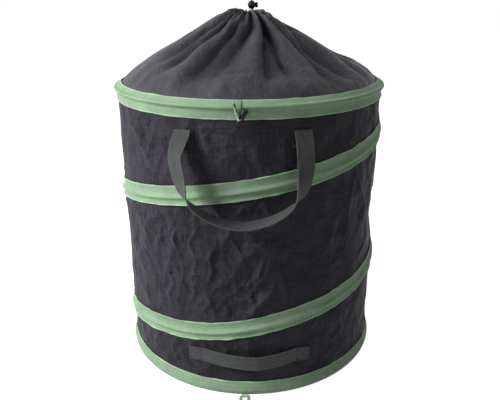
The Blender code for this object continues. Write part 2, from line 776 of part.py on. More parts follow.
def toggle(side, facing):
    """A waisted bar with a cross hole, and the cord loop threaded through it."""
    turn = Matrix.Rotation(facing - math.pi / 2, 4, "Z")
    reach = RIDGE_OUTER + TOGGLE_STANDOFF + TOGGLE_RADIUS
    centre = Vector((0, reach, TOP_HOOP_HEIGHT - TOGGLE_DROP))
    half = TOGGLE_LENGTH / 2
    waist = TOGGLE_WAIST_LENGTH / 2
    shoulder = TOGGLE_RADIUS - TOGGLE_WAIST_RADIUS
    profile = [
        (0, half),
        (TOGGLE_RADIUS - TOGGLE_BEVEL, half),
        (TOGGLE_RADIUS, half - TOGGLE_BEVEL),
        (TOGGLE_RADIUS, waist + shoulder),
        (TOGGLE_WAIST_RADIUS, waist),
    ]
    profile += [(r, -z) for r, z in profile[::-1]]
    bar = turned(side + "_toggle_bar", profile, ROUND_SIDES, closed=False)
    tilt = Matrix.Rotation(-TOGGLE_TILT, 4, "Y")
    bar.matrix_world = turn @ Matrix.Translation(centre) @ tilt
    hole = TOGGLE_CORD_RADIUS + CLEARANCE
    ends = [turn @ (centre + Vector((0, side_y * TOGGLE_LENGTH, 0))) for side_y in (-1, 1)]
    cut(bar, cutter(rod(side + "_toggle_hole_cutter", *ends, hole, ROUND_SIDES // 2)))
    finish(bar, BLACK_PLASTIC, 0.25)
    finish(toggle_loop(side + "_toggle_loop", turn, centre), GREEN, 0.75)


def toggle_loop(name, turn, centre):
    """A closed cord from the tape's upper edge, one strand each side of the bar."""
    cord = TOGGLE_CORD_RADIUS
    lean = Vector((0, -math.sin(TOP_TAPE_LEAN), math.cos(TOP_TAPE_LEAN)))
    normal = Vector((0, math.cos(TOP_TAPE_LEAN), math.sin(TOP_TAPE_LEAN)))
    start = hexagon(CASING_BORE, (120,))[0]
    foot = Vector((0, HOOP_RADIUS + start[0], TOP_HOOP_HEIGHT + start[1]))
    foot += normal * (TAPE + CLEARANCE + cord)
    edge = foot + lean * (TOP_TAPE_RISE - cord)
    ridge = Vector((0, RIDGE_OUTER + CLEARANCE + cord, TOP_HOOP_HEIGHT))
    shoulder = Vector((0, HOOP_RADIUS + cord, TOP_HOOP_HEIGHT + CASING_OUTER + cord + 2 * CLEARANCE))
    bases = {"edge": edge, "foot": foot, "shoulder": shoulder, "ridge": ridge, "bar": centre}
    size = Vector((cord, TOGGLE_RADIUS, TOGGLE_RADIUS))
    route = [bases[base] + size * Vector(shares) for base, *shares in TOGGLE_CORD_SHARES]
    points = [turn @ point for point in smooth_route(route, TOGGLE_CORD_STEPS, closed=True)]
    return tube(name, points, cord, cyclic=True)


def folding_loop(side, facing):
    """A loop that swings in a tab sewn under the bottom tape's ridge."""
    turn = Matrix.Rotation(facing - math.pi / 2, 4, "Z")
    bore = LOOP_CORD_RADIUS + CLEARANCE
    barrel = bore + TAB_BARREL_WALL
    pin = Vector((0, RIDGE_OUTER + TAB_STANDOFF + barrel, barrel + TAB_STANDOFF))
    half = TAB_WIDTH / 2
    across = Vector((half, 0, 0))
    tab = rod(side + "_loop_tab_solid", pin - across, pin + across, barrel)
    BAG.objects.link(tab)
    low = (-half, FLANGE_OUTER + CLEARANCE, TAB_STANDOFF)
    high = (half, pin.y, TAB_STANDOFF + TAB_THICKNESS)
    cut(tab, cutter(box(side + "_loop_tab_plate", low, high)), "UNION")
    bore_cutter = rod(side + "_loop_bore_cutter", pin - 2 * across, pin + 2 * across, bore)
    cut(tab, cutter(bore_cutter))
    tab = baked(tab, side + "_loop_tab")
    tab.matrix_world = turn
    finish(tab, GREEN, 0.75)
    corners = []
    for x, y, start in (
        (LOOP_STRAIGHT, LOOP_CORNER, 270),
        (LOOP_STRAIGHT, LOOP_REACH - LOOP_CORNER, 0),
        (-LOOP_STRAIGHT, LOOP_REACH - LOOP_CORNER, 90),
        (-LOOP_STRAIGHT, LOOP_CORNER, 180),
    ):
        for k in range(CORNER_POINTS):
            angle = math.radians(start + 90 * k / (CORNER_POINTS - 1))
            bend = Vector((math.cos(angle), math.sin(angle), 0)) * LOOP_CORNER
            corners.append(turn @ (pin + Vector((x, y, 0)) + bend))
    finish(tube(side + "_folding_loop", corners, LOOP_CORD_RADIUS, cyclic=True), GREEN, 0.75)


def build():
    for place, height, section in (
        ("bottom", BOTTOM_HOOP_HEIGHT, casing_section(BOTTOM_TAPE_RISE, 0, fold=BOTTOM_TAPE_FOLD)),
        ("top", TOP_HOOP_HEIGHT, casing_section(TOP_TAPE_RISE, TOP_TAPE_DROP, lean=TOP_TAPE_LEAN)),
    ):
        middle, along = hoop_wire(place + "_hoop_wire", height)
        hoop_ferrule(place + "_hoop_ferrule", middle, along)
        hoop_tape(place + "_tape", height, section)
    spiral_wire()
    spiral_tape()
    side_wall()
    bottom_panel()
    top_closure()
    drawcord()
    cord_lock()
    tipping_handle()
    for side, facing, lowered in (("front", FRONT, 0), ("rear", REAR, REAR_HANDLE_LOWERED)):
        carry_handle(side, facing, lowered)
        toggle(side, facing)
        folding_loop(side, facing)


clear_scene()
BAG = new_collection("Pop up leaf bag")
CUTTERS = new_collection("Cutters")
build()
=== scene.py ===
import math

import bmesh
import bpy
import numpy as np
from mathutils import Matrix, Vector


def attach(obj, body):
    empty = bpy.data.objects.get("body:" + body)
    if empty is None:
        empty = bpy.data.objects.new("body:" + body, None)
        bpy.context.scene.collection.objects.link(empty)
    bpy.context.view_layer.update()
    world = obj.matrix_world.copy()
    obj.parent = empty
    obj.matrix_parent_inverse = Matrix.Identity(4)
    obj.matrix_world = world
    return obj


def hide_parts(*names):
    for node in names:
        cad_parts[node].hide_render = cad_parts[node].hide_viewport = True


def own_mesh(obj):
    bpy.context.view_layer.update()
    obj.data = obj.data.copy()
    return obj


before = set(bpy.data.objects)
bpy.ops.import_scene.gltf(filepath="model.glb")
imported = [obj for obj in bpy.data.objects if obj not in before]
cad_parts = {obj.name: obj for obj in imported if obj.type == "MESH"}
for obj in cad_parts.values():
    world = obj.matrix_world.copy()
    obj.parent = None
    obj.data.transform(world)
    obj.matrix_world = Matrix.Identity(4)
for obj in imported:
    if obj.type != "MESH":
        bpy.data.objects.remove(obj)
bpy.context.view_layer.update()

FRONT, REAR = -math.pi / 2, math.pi / 2
UP = Vector((0, 0, 1))
# Turns from a frame that faces +Y
SIDES = [
    (side, Matrix.Rotation(facing - math.pi / 2, 4, "Z"))
    for side, facing in (("front", FRONT), ("rear", REAR))
]

# Hoops and wall: radii and heights, in metres
HOOP_RADIUS = 0.250
TOP = 0.530
BOTTOM = 0.008
WIRE_RADIUS = 0.0015
WALL = 0.2472
WALL_OUTER = 0.2477

# Tapes: thickness, their sewn flanges, the ridge over a wire and how far they reach
TAPE = 0.0008
FLANGE_IN = 0.2476
FLANGE_OUT = 0.2484
RIDGE = 0.0033
BELL = 0.0047
TAPE_OUTER = 0.25393
LEAN = math.radians(57)
TOP_TAPE_LOW = 0.5105
TOP_TAPE_RISE = 0.0120
BOTTOM_TAPE_HIGH = 0.0275
# The spring comes down 0.522 m in 99/48 turns
SPIRAL_START = math.radians(105)
SPIRAL_PITCH = 0.522 / 99 * 48
SPIRAL_RISE = 0.020
SPIRAL_DROP = 0.014
# What a tape's mesh stores where no edge is near
FAR_FROM_EDGE = 0.004
STITCH_LENGTH = 0.0030
STITCH_HEIGHT = 0.0006
STITCH_PITCH = 0.0036

# Closure's hem, drawcord, cord lock and toggle bar
HEM_RADIUS = 0.0125
HEM_HEIGHT = TOP + 0.1265
CORD_RADIUS = 0.0012
CORD_HOLE = 0.0016
LOCK = Vector((0.0065, 0, 0.6695))
LOCK_BALL = 0.0075
# Each tail's distance from the lock's middle, and its end above it
CORD_OFF = 0.0015
CORD_END = 0.0245
BAR = 0.00475

# Handles
STRAP_WIDTH = 0.030
STRAP = 0.0018
HANDLE_ANGLE = math.radians(22.35)
PATCH_OUTER = WALL_OUTER + STRAP
HANDLE_DROP = 0.187 - 0.0385
# The tipping handle's middle, and the angle from it to each sewn end
TIPPING_MIDDLE = FRONT + math.radians(1.7)
TIPPING_REACH = math.radians(22.8)
# Share of the fold's distance from the middle, of the lean outwards and of the drop,
# and the twist in degrees
HANDLE_SHARES = (
    (1.00, 0.00, 0.00, 0), (1.04, 0.35, 0.20, 4), (1.05, 0.62, 0.40, 14), (1.00, 0.85, 0.60, 42),
    (0.86, 1.00, 0.76, 80), (0.60, 1.00, 0.89, 92), (0.30, 1.00, 0.97, 95), (0.00, 1.00, 1.00, 95),
)

# Camera, fitted to the photograph: sizes in its pixels
PHOTO_WIDTH = 500
PHOTO_MIDDLE = (250.2, 200.0)
FOCAL_PIXELS = 582.0
CAMERA_ANGLE = math.radians(-87.3)
CAMERA_REACH = 1.125
CAMERA_HEIGHT = 0.706
CAMERA_PITCH = math.radians(20.4)
CAMERA_ROLL = math.radians(0.5)


def polar(radius, angle, height):
    return Vector((radius * math.cos(angle), radius * math.sin(angle), height))


def signed(angle):
    """The same angle, between -pi and pi."""
    return (angle + math.pi) % (2 * math.pi) - math.pi


def round_axis(radius, angles, height):
    """Points about the bag's axis, as an array."""
    height = np.broadcast_to(height, radius.shape)
    return np.stack([radius * np.cos(angles), radius * np.sin(angles), height], axis=-1)


def two_sided(angles, outer, inner):
    """Sections of a sheet from the (radii, heights) of its outer and its inner side."""
    inside = round_axis(inner[0], angles, inner[1])[:, ::-1]
    return np.concatenate([round_axis(outer[0], angles, outer[1]), inside], axis=1)


def added(name, data):
    """A new object in the scene."""
    obj = bpy.data.objects.new(name, data)
    bpy.context.scene.collection.objects.link(obj)
    return obj


def camera_axes():
    away = polar(1, CAMERA_ANGLE, 0)
    ahead = -away * math.cos(CAMERA_PITCH) - Vector((0, 0, math.sin(CAMERA_PITCH)))
    right = ahead.cross(Vector((0, 0, 1))).normalized()
    up = right.cross(ahead)
    c, s = math.cos(CAMERA_ROLL), math.sin(CAMERA_ROLL)
    return c * right - s * up, s * right + c * up, ahead


def make_camera():
    data = bpy.data.cameras.new("camera")
    data.sensor_width = 36
    data.lens = FOCAL_PIXELS / PHOTO_WIDTH * data.sensor_width
    camera = added("camera", data)
    right, up, ahead = camera_axes()
    turn = Matrix((right, up, -ahead)).transposed().to_4x4()
    place = polar(CAMERA_REACH, CAMERA_ANGLE, CAMERA_HEIGHT)
    camera.matrix_world = Matrix.Translation(place) @ turn
    bpy.context.scene.camera = camera


def pixel_ray(pixel):
    right, up, ahead = camera_axes()
    a = (pixel[0] - PHOTO_MIDDLE[0]) / FOCAL_PIXELS
    b = (PHOTO_MIDDLE[1] - pixel[1]) / FOCAL_PIXELS
    start = polar(CAMERA_REACH, CAMERA_ANGLE, CAMERA_HEIGHT)
    return start, ahead + a * right + b * up


def on_wall(pixel):
    """(angle, height) of the point of the wall that this pixel shows."""
    start, ray = pixel_ray(pixel)
    a = ray.x**2 + ray.y**2
    b = start.x * ray.x + start.y * ray.y
    c = start.x**2 + start.y**2 - WALL**2
    reach = (-b - math.sqrt(max(b * b - a * c, 0))) / a
    point = start + reach * ray
    return math.atan2(point.y, point.x), point.z


# Shaders


class Nodes:
    """Short names for adding nodes to a tree."""

    def __init__(self, tree):
        self.tree = tree

    def add(self, kind, *values, operation=None, **inputs):
        """A node, with values or links for its first inputs and for inputs by name."""
        made = self.tree.nodes.new("ShaderNode" + kind)
        if operation:
            made.operation = operation
        named = ((key.replace("_", " "), value) for key, value in inputs.items())
        for key, value in (*enumerate(values), *named):
            self.put(made.inputs[key], value)
        return made

    def put(self, socket, value):
        if isinstance(value, bpy.types.NodeSocket):
            self.tree.links.new(value, socket)
        else:
            socket.default_value = value

    def math(self, operation, *values):
        return self.add("Math", *values, operation=operation).outputs[0]

    def product(self, first, *others):
        for other in others:
            first = self.math("MULTIPLY", first, other)
        return first

    def white_where_seen(self, lit, white):
        """White for rays from the camera and for those that glossy or clear pieces send on."""
        path = self.add("LightPath").outputs
        either = self.math("MAXIMUM", path["Is Camera Ray"], path["Is Glossy Ray"])
        either = self.math("MAXIMUM", either, path["Is Transmission Ray"])
        return self.add("MixShader", either, lit, white).outputs[0]


class Surface(Nodes):
    """A Principled material and its nodes."""

    def __init__(self, name, colour, roughness, **sockets):
        self.material = bpy.data.materials.new(name)
        self.material.use_nodes = True
        super().__init__(self.material.node_tree)
        self.shader = self.tree.nodes["Principled BSDF"]
        self.colour = colour
        self.set(Base_Color=(*colour, 1), Roughness=roughness, **sockets)

    def set(self, **sockets):
        for key, value in sockets.items():
            self.put(self.shader.inputs[key.replace("_", " ")], value)

    def place(self):
        """The point in metres."""
        return self.add("TexCoord").outputs["Object"]

    def wrapped(self):
        """(distance round the bag's axis, height, point) in metres."""
        place = self.place()
        x, y, height = self.add("SeparateXYZ", place).outputs
        return self.product(self.math("ARCTAN2", y, x), HOOP_RADIUS), height, place

    def cloth(self):
        """The two values that a cloth's mesh stores at its points."""
        stored = self.add("Attribute")
        stored.attribute_name = "cloth"
        return self.add("SeparateXYZ", stored.outputs["Vector"]).outputs[:2]

    def noise(self, vector, scale, detail=3.0, roughness=0.5, distortion=0.0):
        return self.add(
            "TexNoise",
            Vector=vector, Scale=scale, Detail=detail, Roughness=roughness, Distortion=distortion,
        ).outputs[0]

    def facets(self, vector, scale, bend):
        """Flat patches that meet in creases, as in crumpled cloth."""
        off = self.add("TexNoise", Vector=vector, Scale=scale * 0.7, Detail=3.0).outputs["Color"]
        moved = self.add("VectorMath", off, (bend, bend, bend), vector, operation="MULTIPLY_ADD")
        return self.add("TexVoronoi", Vector=moved.outputs[0], Scale=scale).outputs["Distance"]

    def streaks(self, u, v, scale_u, scale_v, *settings):
        """Noise that is stretched along u or v."""
        stretched = self.add("CombineXYZ", self.product(u, scale_u), self.product(v, scale_v))
        return self.noise(stretched.outputs[0], 1.0, *(settings or (2.0,)))

    def wave(self, value, pitch):
        return self.math("SINE", self.product(value, 2 * math.pi / pitch))

    def ranged(self, value, low, high, to_low, to_high):
        return self.add("MapRange", value, low, high, to_low, to_high).outputs[0]

    def spread(self, noise, to_low, to_high):
        """The values that a noise mostly has, mapped to a range."""
        return self.ranged(noise, 0.3, 0.7, to_low, to_high)

    def tint(self, *shades):
        """Base colour times shades about 1."""
        made = self.add("VectorMath", self.colour, operation="SCALE", Scale=self.product(*shades))
        self.set(Base_Color=made.outputs[0])

    def bump(self, *heights):
        """Bumps from (height, strength, distance), one on top of the other."""
        below = {}
        for height, strength, distance in heights:
            made = self.add("Bump", Height=height, Strength=strength, Distance=distance, **below)
            below = {"Normal": made.outputs[0]}
        self.set(**below)


def wall_material():
    m = Surface("woven wall fabric", (0.0385, 0.0360, 0.0440), 0.50, Specular_IOR_Level=0.03)
    around, height, place = m.wrapped()
    weave = m.product(m.wave(around, 0.0011), m.wave(height, 0.0011))
    warp, weft = m.streaks(around, height, 420, 22), m.streaks(around, height, 22, 420)
    threads = m.math("ADD", warp, weft)
    cloudy = m.noise(place, 9.0, 4.0, 0.6)
    crumple = m.noise(place, 21.0, 5.0, 0.62, 0.9)
    m.tint(m.ranged(threads, 0.75, 1.25, 0.78, 1.26), m.spread(cloudy, 0.84, 1.18))
    m.set(Roughness=m.spread(cloudy, 0.44, 0.60))
    m.bump(
        (m.facets(place, 26.0, 0.035), 0.75, 0.012), (crumple, 0.70, 0.008),
        (weave, 0.25, 0.0003), (threads, 0.35, 0.0006),
    )
    return m.material


def closure_material():
    """Satin, with shade painted in its valleys and light on its ridges; the mesh stores how far it
    stands out.
    """
    m = Surface("satin closure fabric", (0.050, 0.050, 0.059), 0.45, Specular_IOR_Level=0.12)
    around, height, place = m.wrapped()
    fine = m.streaks(around, height, 500, 60)
    cloudy = m.noise(place, 14.0, 4.0, 0.6)
    creases = m.noise(place, 30.0, 5.0, 0.62, 0.8)
    # Painted shade in the valleys and painted light on the ridges, from how far the cloth stands
    # out.
    valleys = m.ranged(m.cloth()[0], -0.010, 0.0015, 0.46, 1.18)
    # The strong cloudy tone is partly random tone and partly painted satin highlights.
    m.tint(m.spread(fine, 0.92, 1.08), m.spread(cloudy, 0.76, 1.28), valleys)
    m.set(Roughness=m.spread(cloudy, 0.38, 0.53))
    m.bump((creases, 0.80, 0.006), (fine, 0.25, 0.0004))
    return m.material


def tape_material():
    """Ribbed binding tape with a paler selvage and a painted highlight along its edges; the mesh
    stores the distance to its edge.
    """
    m = Surface(
        "green binding tape", (0.265, 0.395, 0.255), 0.58,
        Sheen_Weight=0.03, Sheen_Roughness=0.45, Specular_IOR_Level=0.10,
    )
    around, height, place = m.wrapped()
    # Paler selvage, partly a painted highlight along the tape's edges.
    selvage_and_highlight = m.ranged(m.cloth()[0], 0.0008, 0.0024, 1.55, 1.0)
    rib = m.wave(around, 0.0010)
    thread = m.streaks(around, height, 60, 700)
    cloudy = m.noise(place, 26.0, 4.0, 0.6)
    pucker = m.streaks(around, height, 130, 60, 3.0, 0.6, 0.5)
    m.tint(m.spread(thread, 0.94, 1.06), m.spread(cloudy, 0.84, 1.12), selvage_and_highlight)
    m.set(Roughness=m.spread(cloudy, 0.50, 0.68))
    m.bump((pucker, 0.35, 0.0022), (rib, 0.15, 0.0002), (thread, 0.3, 0.0003))
    return m.material


def webbing_material(name, colour):
    """Flat webbing: a fine herringbone between firm, paler edges that are partly a painted
    highlight.
    """
    m = Surface(
        name, colour, 0.52, Sheen_Weight=0.03, Sheen_Roughness=0.5, Specular_IOR_Level=0.12
    )
    along, across = m.cloth()
    zigzag = m.math("ABSOLUTE", m.wave(across, 0.0064))
    twill = m.wave(m.math("ADD", along, m.product(zigzag, 0.0022)), 0.0015)
    fine = m.wave(across, 0.0011)
    wear = m.streaks(along, across, 40, 160, 3.0)
    # Paler edges, partly a painted highlight where the strap's edges catch the light.
    edge = m.ranged(m.math("ABSOLUTE", across), 0.0122, 0.0142, 1.0, 1.35)
    m.tint(m.ranged(twill, -1, 1, 0.78, 1.18), m.spread(wear, 0.84, 1.18), edge)
    m.bump((twill, 0.55, 0.0004), (fine, 0.35, 0.0003))
    return m.material


def thread_material(name, colour):
    m = Surface(name, colour, 0.55, Specular_IOR_Level=0.08)
    twist = m.noise(m.place(), 900.0, 2.0)
    m.tint(m.spread(twist, 0.80, 1.20))
    m.bump((twist, 0.4, 0.0002))
    return m.material


def cord_material():
    """A round braided cord: two sets of crossing strands."""
    m = Surface(
        "braided cord", (0.020, 0.020, 0.022), 0.55, Sheen_Weight=0.05, Specular_IOR_Level=0.15
    )
    x, y, z = m.add("SeparateXYZ", Vector=m.place()).outputs
    level = m.math("ADD", x, y)
    braid = m.product(*(m.wave(m.math(way, z, level), 0.0011) for way in ("ADD", "SUBTRACT")))
    m.tint(m.ranged(braid, -1, 1, 0.65, 1.35))
    m.bump((braid, 0.6, 0.0003))
    return m.material


def plastic_material():
    m = Surface("moulded black plastic", (0.006, 0.006, 0.007), 0.26, Specular_IOR_Level=0.16)
    place = m.place()
    scuffs = m.noise(place, 700.0, 4.0, 0.6, 1.0)
    m.tint(m.spread(m.noise(place, 160.0), 0.85, 1.25))
    m.set(Roughness=m.ranged(scuffs, 0.35, 0.65, 0.20, 0.34))
    m.bump((scuffs, 0.12, 0.0003))
    return m.material


def steel_material():
    m = Surface("drawn spring steel", (0.45, 0.45, 0.46), 0.30, Metallic=1.0)
    drawn = m.noise(m.place(), 420.0, 3.0, 0.6)
    m.tint(m.spread(drawn, 0.80, 1.12))
    m.set(Roughness=m.spread(drawn, 0.24, 0.42))
    m.bump((drawn, 0.15, 0.0002))
    return m.material


WALL_CLOTH = wall_material()
CLOSURE_CLOTH = closure_material()
TAPE_CLOTH = tape_material()
WEBBING = webbing_material("woven webbing", (0.074, 0.082, 0.080))
DARK_WEBBING = webbing_material("dark woven webbing", (0.010, 0.010, 0.011))
GREEN_THREAD = thread_material("green thread", (0.44, 0.60, 0.38))
PALE_THREAD = thread_material("pale thread", (0.16, 0.17, 0.17))
DARK_THREAD = thread_material("dark thread", (0.010, 0.010, 0.011))
CORD = cord_material()
PLASTIC = plastic_material()
STEEL = steel_material()

# Meshes


def smoothed(mesh, sharp):
    """Shades a mesh smooth, apart from its edges over this many degrees."""
    mesh.polygons.foreach_set("use_smooth", [True] * len(mesh.polygons))
    mesh.set_sharp_from_angle(angle=math.radians(sharp))


def mesh_piece(name, points, faces, material, body, smooth=True, sharp=55):
    mesh = bpy.data.meshes.new(name)
    mesh.from_pydata([tuple(p) for p in points], [], [tuple(f) for f in faces])
    mesh.validate()
    bm = bmesh.new()
    bm.from_mesh(mesh)
    bmesh.ops.recalc_face_normals(bm, faces=bm.faces)
    if bm.calc_volume(signed=True) < 0:
        bmesh.ops.reverse_faces(bm, faces=bm.faces)
    bm.to_mesh(mesh)
    bm.free()
    if smooth:
        smoothed(mesh, sharp)
    obj = added(name, mesh)
    mesh.materials.append(material)
    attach(obj, body)
    return obj


def loop_faces(count, size, closed):
    """Quads between sections of equal size, with strips over an open row's ends."""
    faces = []
    for a in range(count if closed else count - 1):
        b = (a + 1) % count
        for i in range(size):
            j = (i + 1) % size
            faces.append((a * size + i, a * size + j, b * size + j, b * size + i))
    if not closed:
        for base in (0, (count - 1) * size):
            for i in range(size // 2 - 1):
                faces.append((base + i, base + i + 1, base + size - i - 2, base + size - i - 1))
    return faces


def swept(name, sections, material, body, closed=False, cloth=None, sharp=55):
    """A closed skin over an array of sections, (count, size, 3)."""
    sections = np.asarray(sections, float)
    faces = loop_faces(*sections.shape[:2], closed)
    obj = mesh_piece(name, sections.reshape(-1, 3), faces, material, body, sharp=sharp)
    if cloth is not None:
        stored = obj.data.attributes.new("cloth", "FLOAT_VECTOR", "POINT")
        stored.data.foreach_set("vector", np.asarray(cloth, np.float32).reshape(-1))
    return obj


# How softly a crease bends, and the sag of the spring's lower turn
CREASE_ROUND = 0.0016
DROOP = 0.0048
DROOP_ANGLE = -1.815
DROOP_HEIGHT = 0.13


# Random fields: seed, number of waves, longest and shortest wave
RIPPLES = {
    "wall slack": (3, 24, 0.9, 0.24),
    "wall waves": (5, 60, 0.16, 0.05),
    "wall puckers": (8, 40, 0.05, 0.018),
    "bottom slack": (21, 30, 0.30, 0.08),
    "tape waves": (51, 50, 0.08, 0.02),
    "tape edges": (52, 30, 0.08, 0.02),
    "pleat bends": (71, 12, 1.6, 0.4),
    "pleat sizes": (72, 20, 0.3, 0.08),
    "closure waves": (73, 50, 0.20, 0.05),
    "closure puckers": (74, 40, 0.07, 0.025),
}


def ripple(around, height, field):
    """A smooth random field about 0, which joins up round the axis."""
    seed, count, longest, shortest = RIPPLES[field]
    rng = np.random.RandomState(seed)
    total = np.zeros(np.broadcast(around, height).shape)
    for _ in range(count):
        pitch = math.exp(rng.uniform(math.log(shortest), math.log(longest)))
        lean = rng.uniform(0, 2 * math.pi)
        turns = round(math.cos(lean) * 2 * math.pi * HOOP_RADIUS / pitch)
        rise = math.sin(lean) * 2 * math.pi / pitch
        phase = rng.uniform(0, 2 * math.pi)
        size = (pitch / longest) ** 0.5
        total = total + size * np.cos(turns * around + rise * height + phase)
    return total / math.sqrt(count)


def smoothstep(low, high, value):
    share = np.clip((value - low) / (high - low), 0, 1)
    return share * share * (3 - 2 * share)


def add_crease(field, around, height, route, lift, width):
    """Raises a field along a route of (angle, height), tapering to its ends."""
    first = route[0][0]
    spots = [(signed(t - first) * HOOP_RADIUS, z) for t, z in route]
    lengths = [math.dist(p, q) for p, q in zip(spots, spots[1:])]
    total = sum(lengths)
    x = signed(around[:, 0] - first) * HOOP_RADIUS
    near = []
    for places, ends in zip((x, height[0]), zip(*spots)):
        reach = 6 * width
        near.append(np.nonzero((places > min(ends) - reach) & (places < max(ends) + reach))[0])
    window = np.ix_(*near)
    x = np.broadcast_to(x[near[0]][:, None], (len(near[0]), len(near[1])))
    height = height[:, near[1]]
    nearest = np.full(x.shape, 1e9)
    share = np.zeros(x.shape)
    run = 0.0
    for (p, q), length in zip(zip(spots, spots[1:]), lengths):
        dx, dz = (q[0] - p[0]) / length, (q[1] - p[1]) / length
        t = np.clip((x - p[0]) * dx + (height - p[1]) * dz, 0, length)
        d = np.hypot(x - p[0] - t * dx, height - p[1] - t * dz)
        closer = d < nearest
        nearest = np.where(closer, d, nearest)
        share = np.where(closer, (run + t) / total, share)
        run += length
    taper = np.sin(np.pi * np.clip(0.08 + 0.84 * share, 0, 1)) ** 0.7
    soft = np.sqrt(nearest**2 + CREASE_ROUND**2) - CREASE_ROUND
    field[window] += lift * np.exp(-soft / width) * taper


def droop(around, height):
    """The spring's lower turn sags a little at the front, left of the middle."""
    off = signed(around - DROOP_ANGLE)
    return -DROOP * np.exp(-((off / 0.42) ** 2) - ((height - DROOP_HEIGHT) / 0.07) ** 2)


def spiral_heights(around):
    """Heights of the spiral's wire at these angles, one row a turn."""
    down = (SPIRAL_START - around) % (2 * math.pi) / (2 * math.pi) * SPIRAL_PITCH
    rows = [TOP - down - k * SPIRAL_PITCH for k in range(3)]
    return [row + droop(around, row) for row in rows]


def band_gap(around, height):
    """Distance from the nearest tape's edge, below 0 on a tape."""
    gap = np.minimum(TOP_TAPE_LOW - height, height - BOTTOM_TAPE_HIGH)
    for wire in spiral_heights(around):
        over = height - (wire + SPIRAL_RISE)
        under = (wire - SPIRAL_DROP) - height
        gap = np.minimum(gap, np.maximum(over, under))
    return gap


# The wall's slack, and where the photograph shows it taut, dented and most crumpled
SAG = 0.0055
TAUT_ANGLE = -2.87
DENT_ANGLE = -0.04
DENT_HEIGHT = 0.285
CRUMPLED_ANGLE = math.radians(-112)
CRUMPLED_HEIGHT = 0.24
RANDOM_CREASES = 640
# Creases that the photograph shows, in its pixels: route, lift, width, and factors for all
SEEN_LIFT = 1.9
SEEN_WIDTH = 0.72
SEEN_CREASES = (
    (((131, 123.5), (141, 137), (151, 149)), 0.0014, 0.004),
    (((143, 131), (139, 143), (146, 156)), 0.0012, 0.005),
    (((149, 150), (144, 158)), 0.0012, 0.005),
    (((201, 128), (205, 139), (216, 147)), 0.0022, 0.005),
    (((197, 124), (211, 127), (223, 134)), 0.0016, 0.006),
    (((207, 136), (204, 147), (212, 156)), 0.0015, 0.005),
    (((166, 146), (160, 158), (156, 172)), 0.0015, 0.005),
    (((258, 150), (257, 161), (262, 170)), 0.0012, 0.006),
    (((212, 205), (218, 213), (223, 222)), 0.0018, 0.004),
    (((245, 205), (240, 213), (234, 220)), 0.0018, 0.004),
    (((262, 197), (266, 207), (272, 219)), 0.0012, 0.005),
    (((232, 228), (228, 237), (220, 246)), 0.0015, 0.005),
    (((175, 228), (174, 238), (178, 254)), 0.0020, 0.005),
    (((194, 233), (189, 243), (195, 258)), 0.0022, 0.005),
    (((216, 246), (209, 258), (213, 270), (208, 284)), 0.0024, 0.005),
    (((166, 269), (173, 283), (169, 296), (174, 309)), 0.0018, 0.005),
    (((196, 262), (192, 278), (197, 290), (190, 303)), 0.0026, 0.005),
    (((181, 262), (184, 272), (180, 284)), 0.0018, 0.005),
    (((205, 292), (211, 302), (203, 312)), 0.0016, 0.005),
    (((264, 262), (259, 277), (247, 288)), 0.0020, 0.005),
    (((273, 294), (262, 302), (254, 309), (248.5, 321)), 0.0030, 0.006),
    (((234, 287), (245, 294), (255, 302)), 0.0012, 0.003),
    (((222, 300), (228, 310), (226, 322)), 0.0014, 0.005),
    (((354, 178), (350, 205), (345, 243)), 0.0014, 0.008),
    (((333, 222), (330, 248), (334, 270)), 0.0010, 0.008),
    (((160, 330), (156, 340), (163, 352)), 0.0016, 0.005),
    (((180, 338), (173, 347), (178, 359)), 0.0014, 0.005),
    (((250, 371), (254, 377), (258, 382)), 0.0016, 0.004),
    (((175.5, 211), (172.7, 236), (173.6, 246), (164.5, 274), (162.7, 293)), 0.0016, 0.009),
    (((273.6, 261), (264.5, 278), (255.5, 287), (251.8, 294.5)), 0.0016, 0.004),
    (((274.5, 281), (272.4, 291), (264.5, 299), (255.5, 307), (249, 320)), 0.0014, 0.004),
    (((166.4, 289), (171.8, 296), (179, 304)), 0.0014, 0.004),
    (((195.5, 271), (197.3, 280), (195.5, 289)), 0.0014, 0.004),
    (((353.6, 165.5), (359, 183), (366, 205)), 0.0012, 0.006),
    (((362, 209), (360, 217), (364.5, 226)), -0.0014, 0.006),
    (((174.5, 123), (176, 129)), 0.0014, 0.004),
    (((186, 127), (192, 131), (197, 138)), 0.0014, 0.004),
)


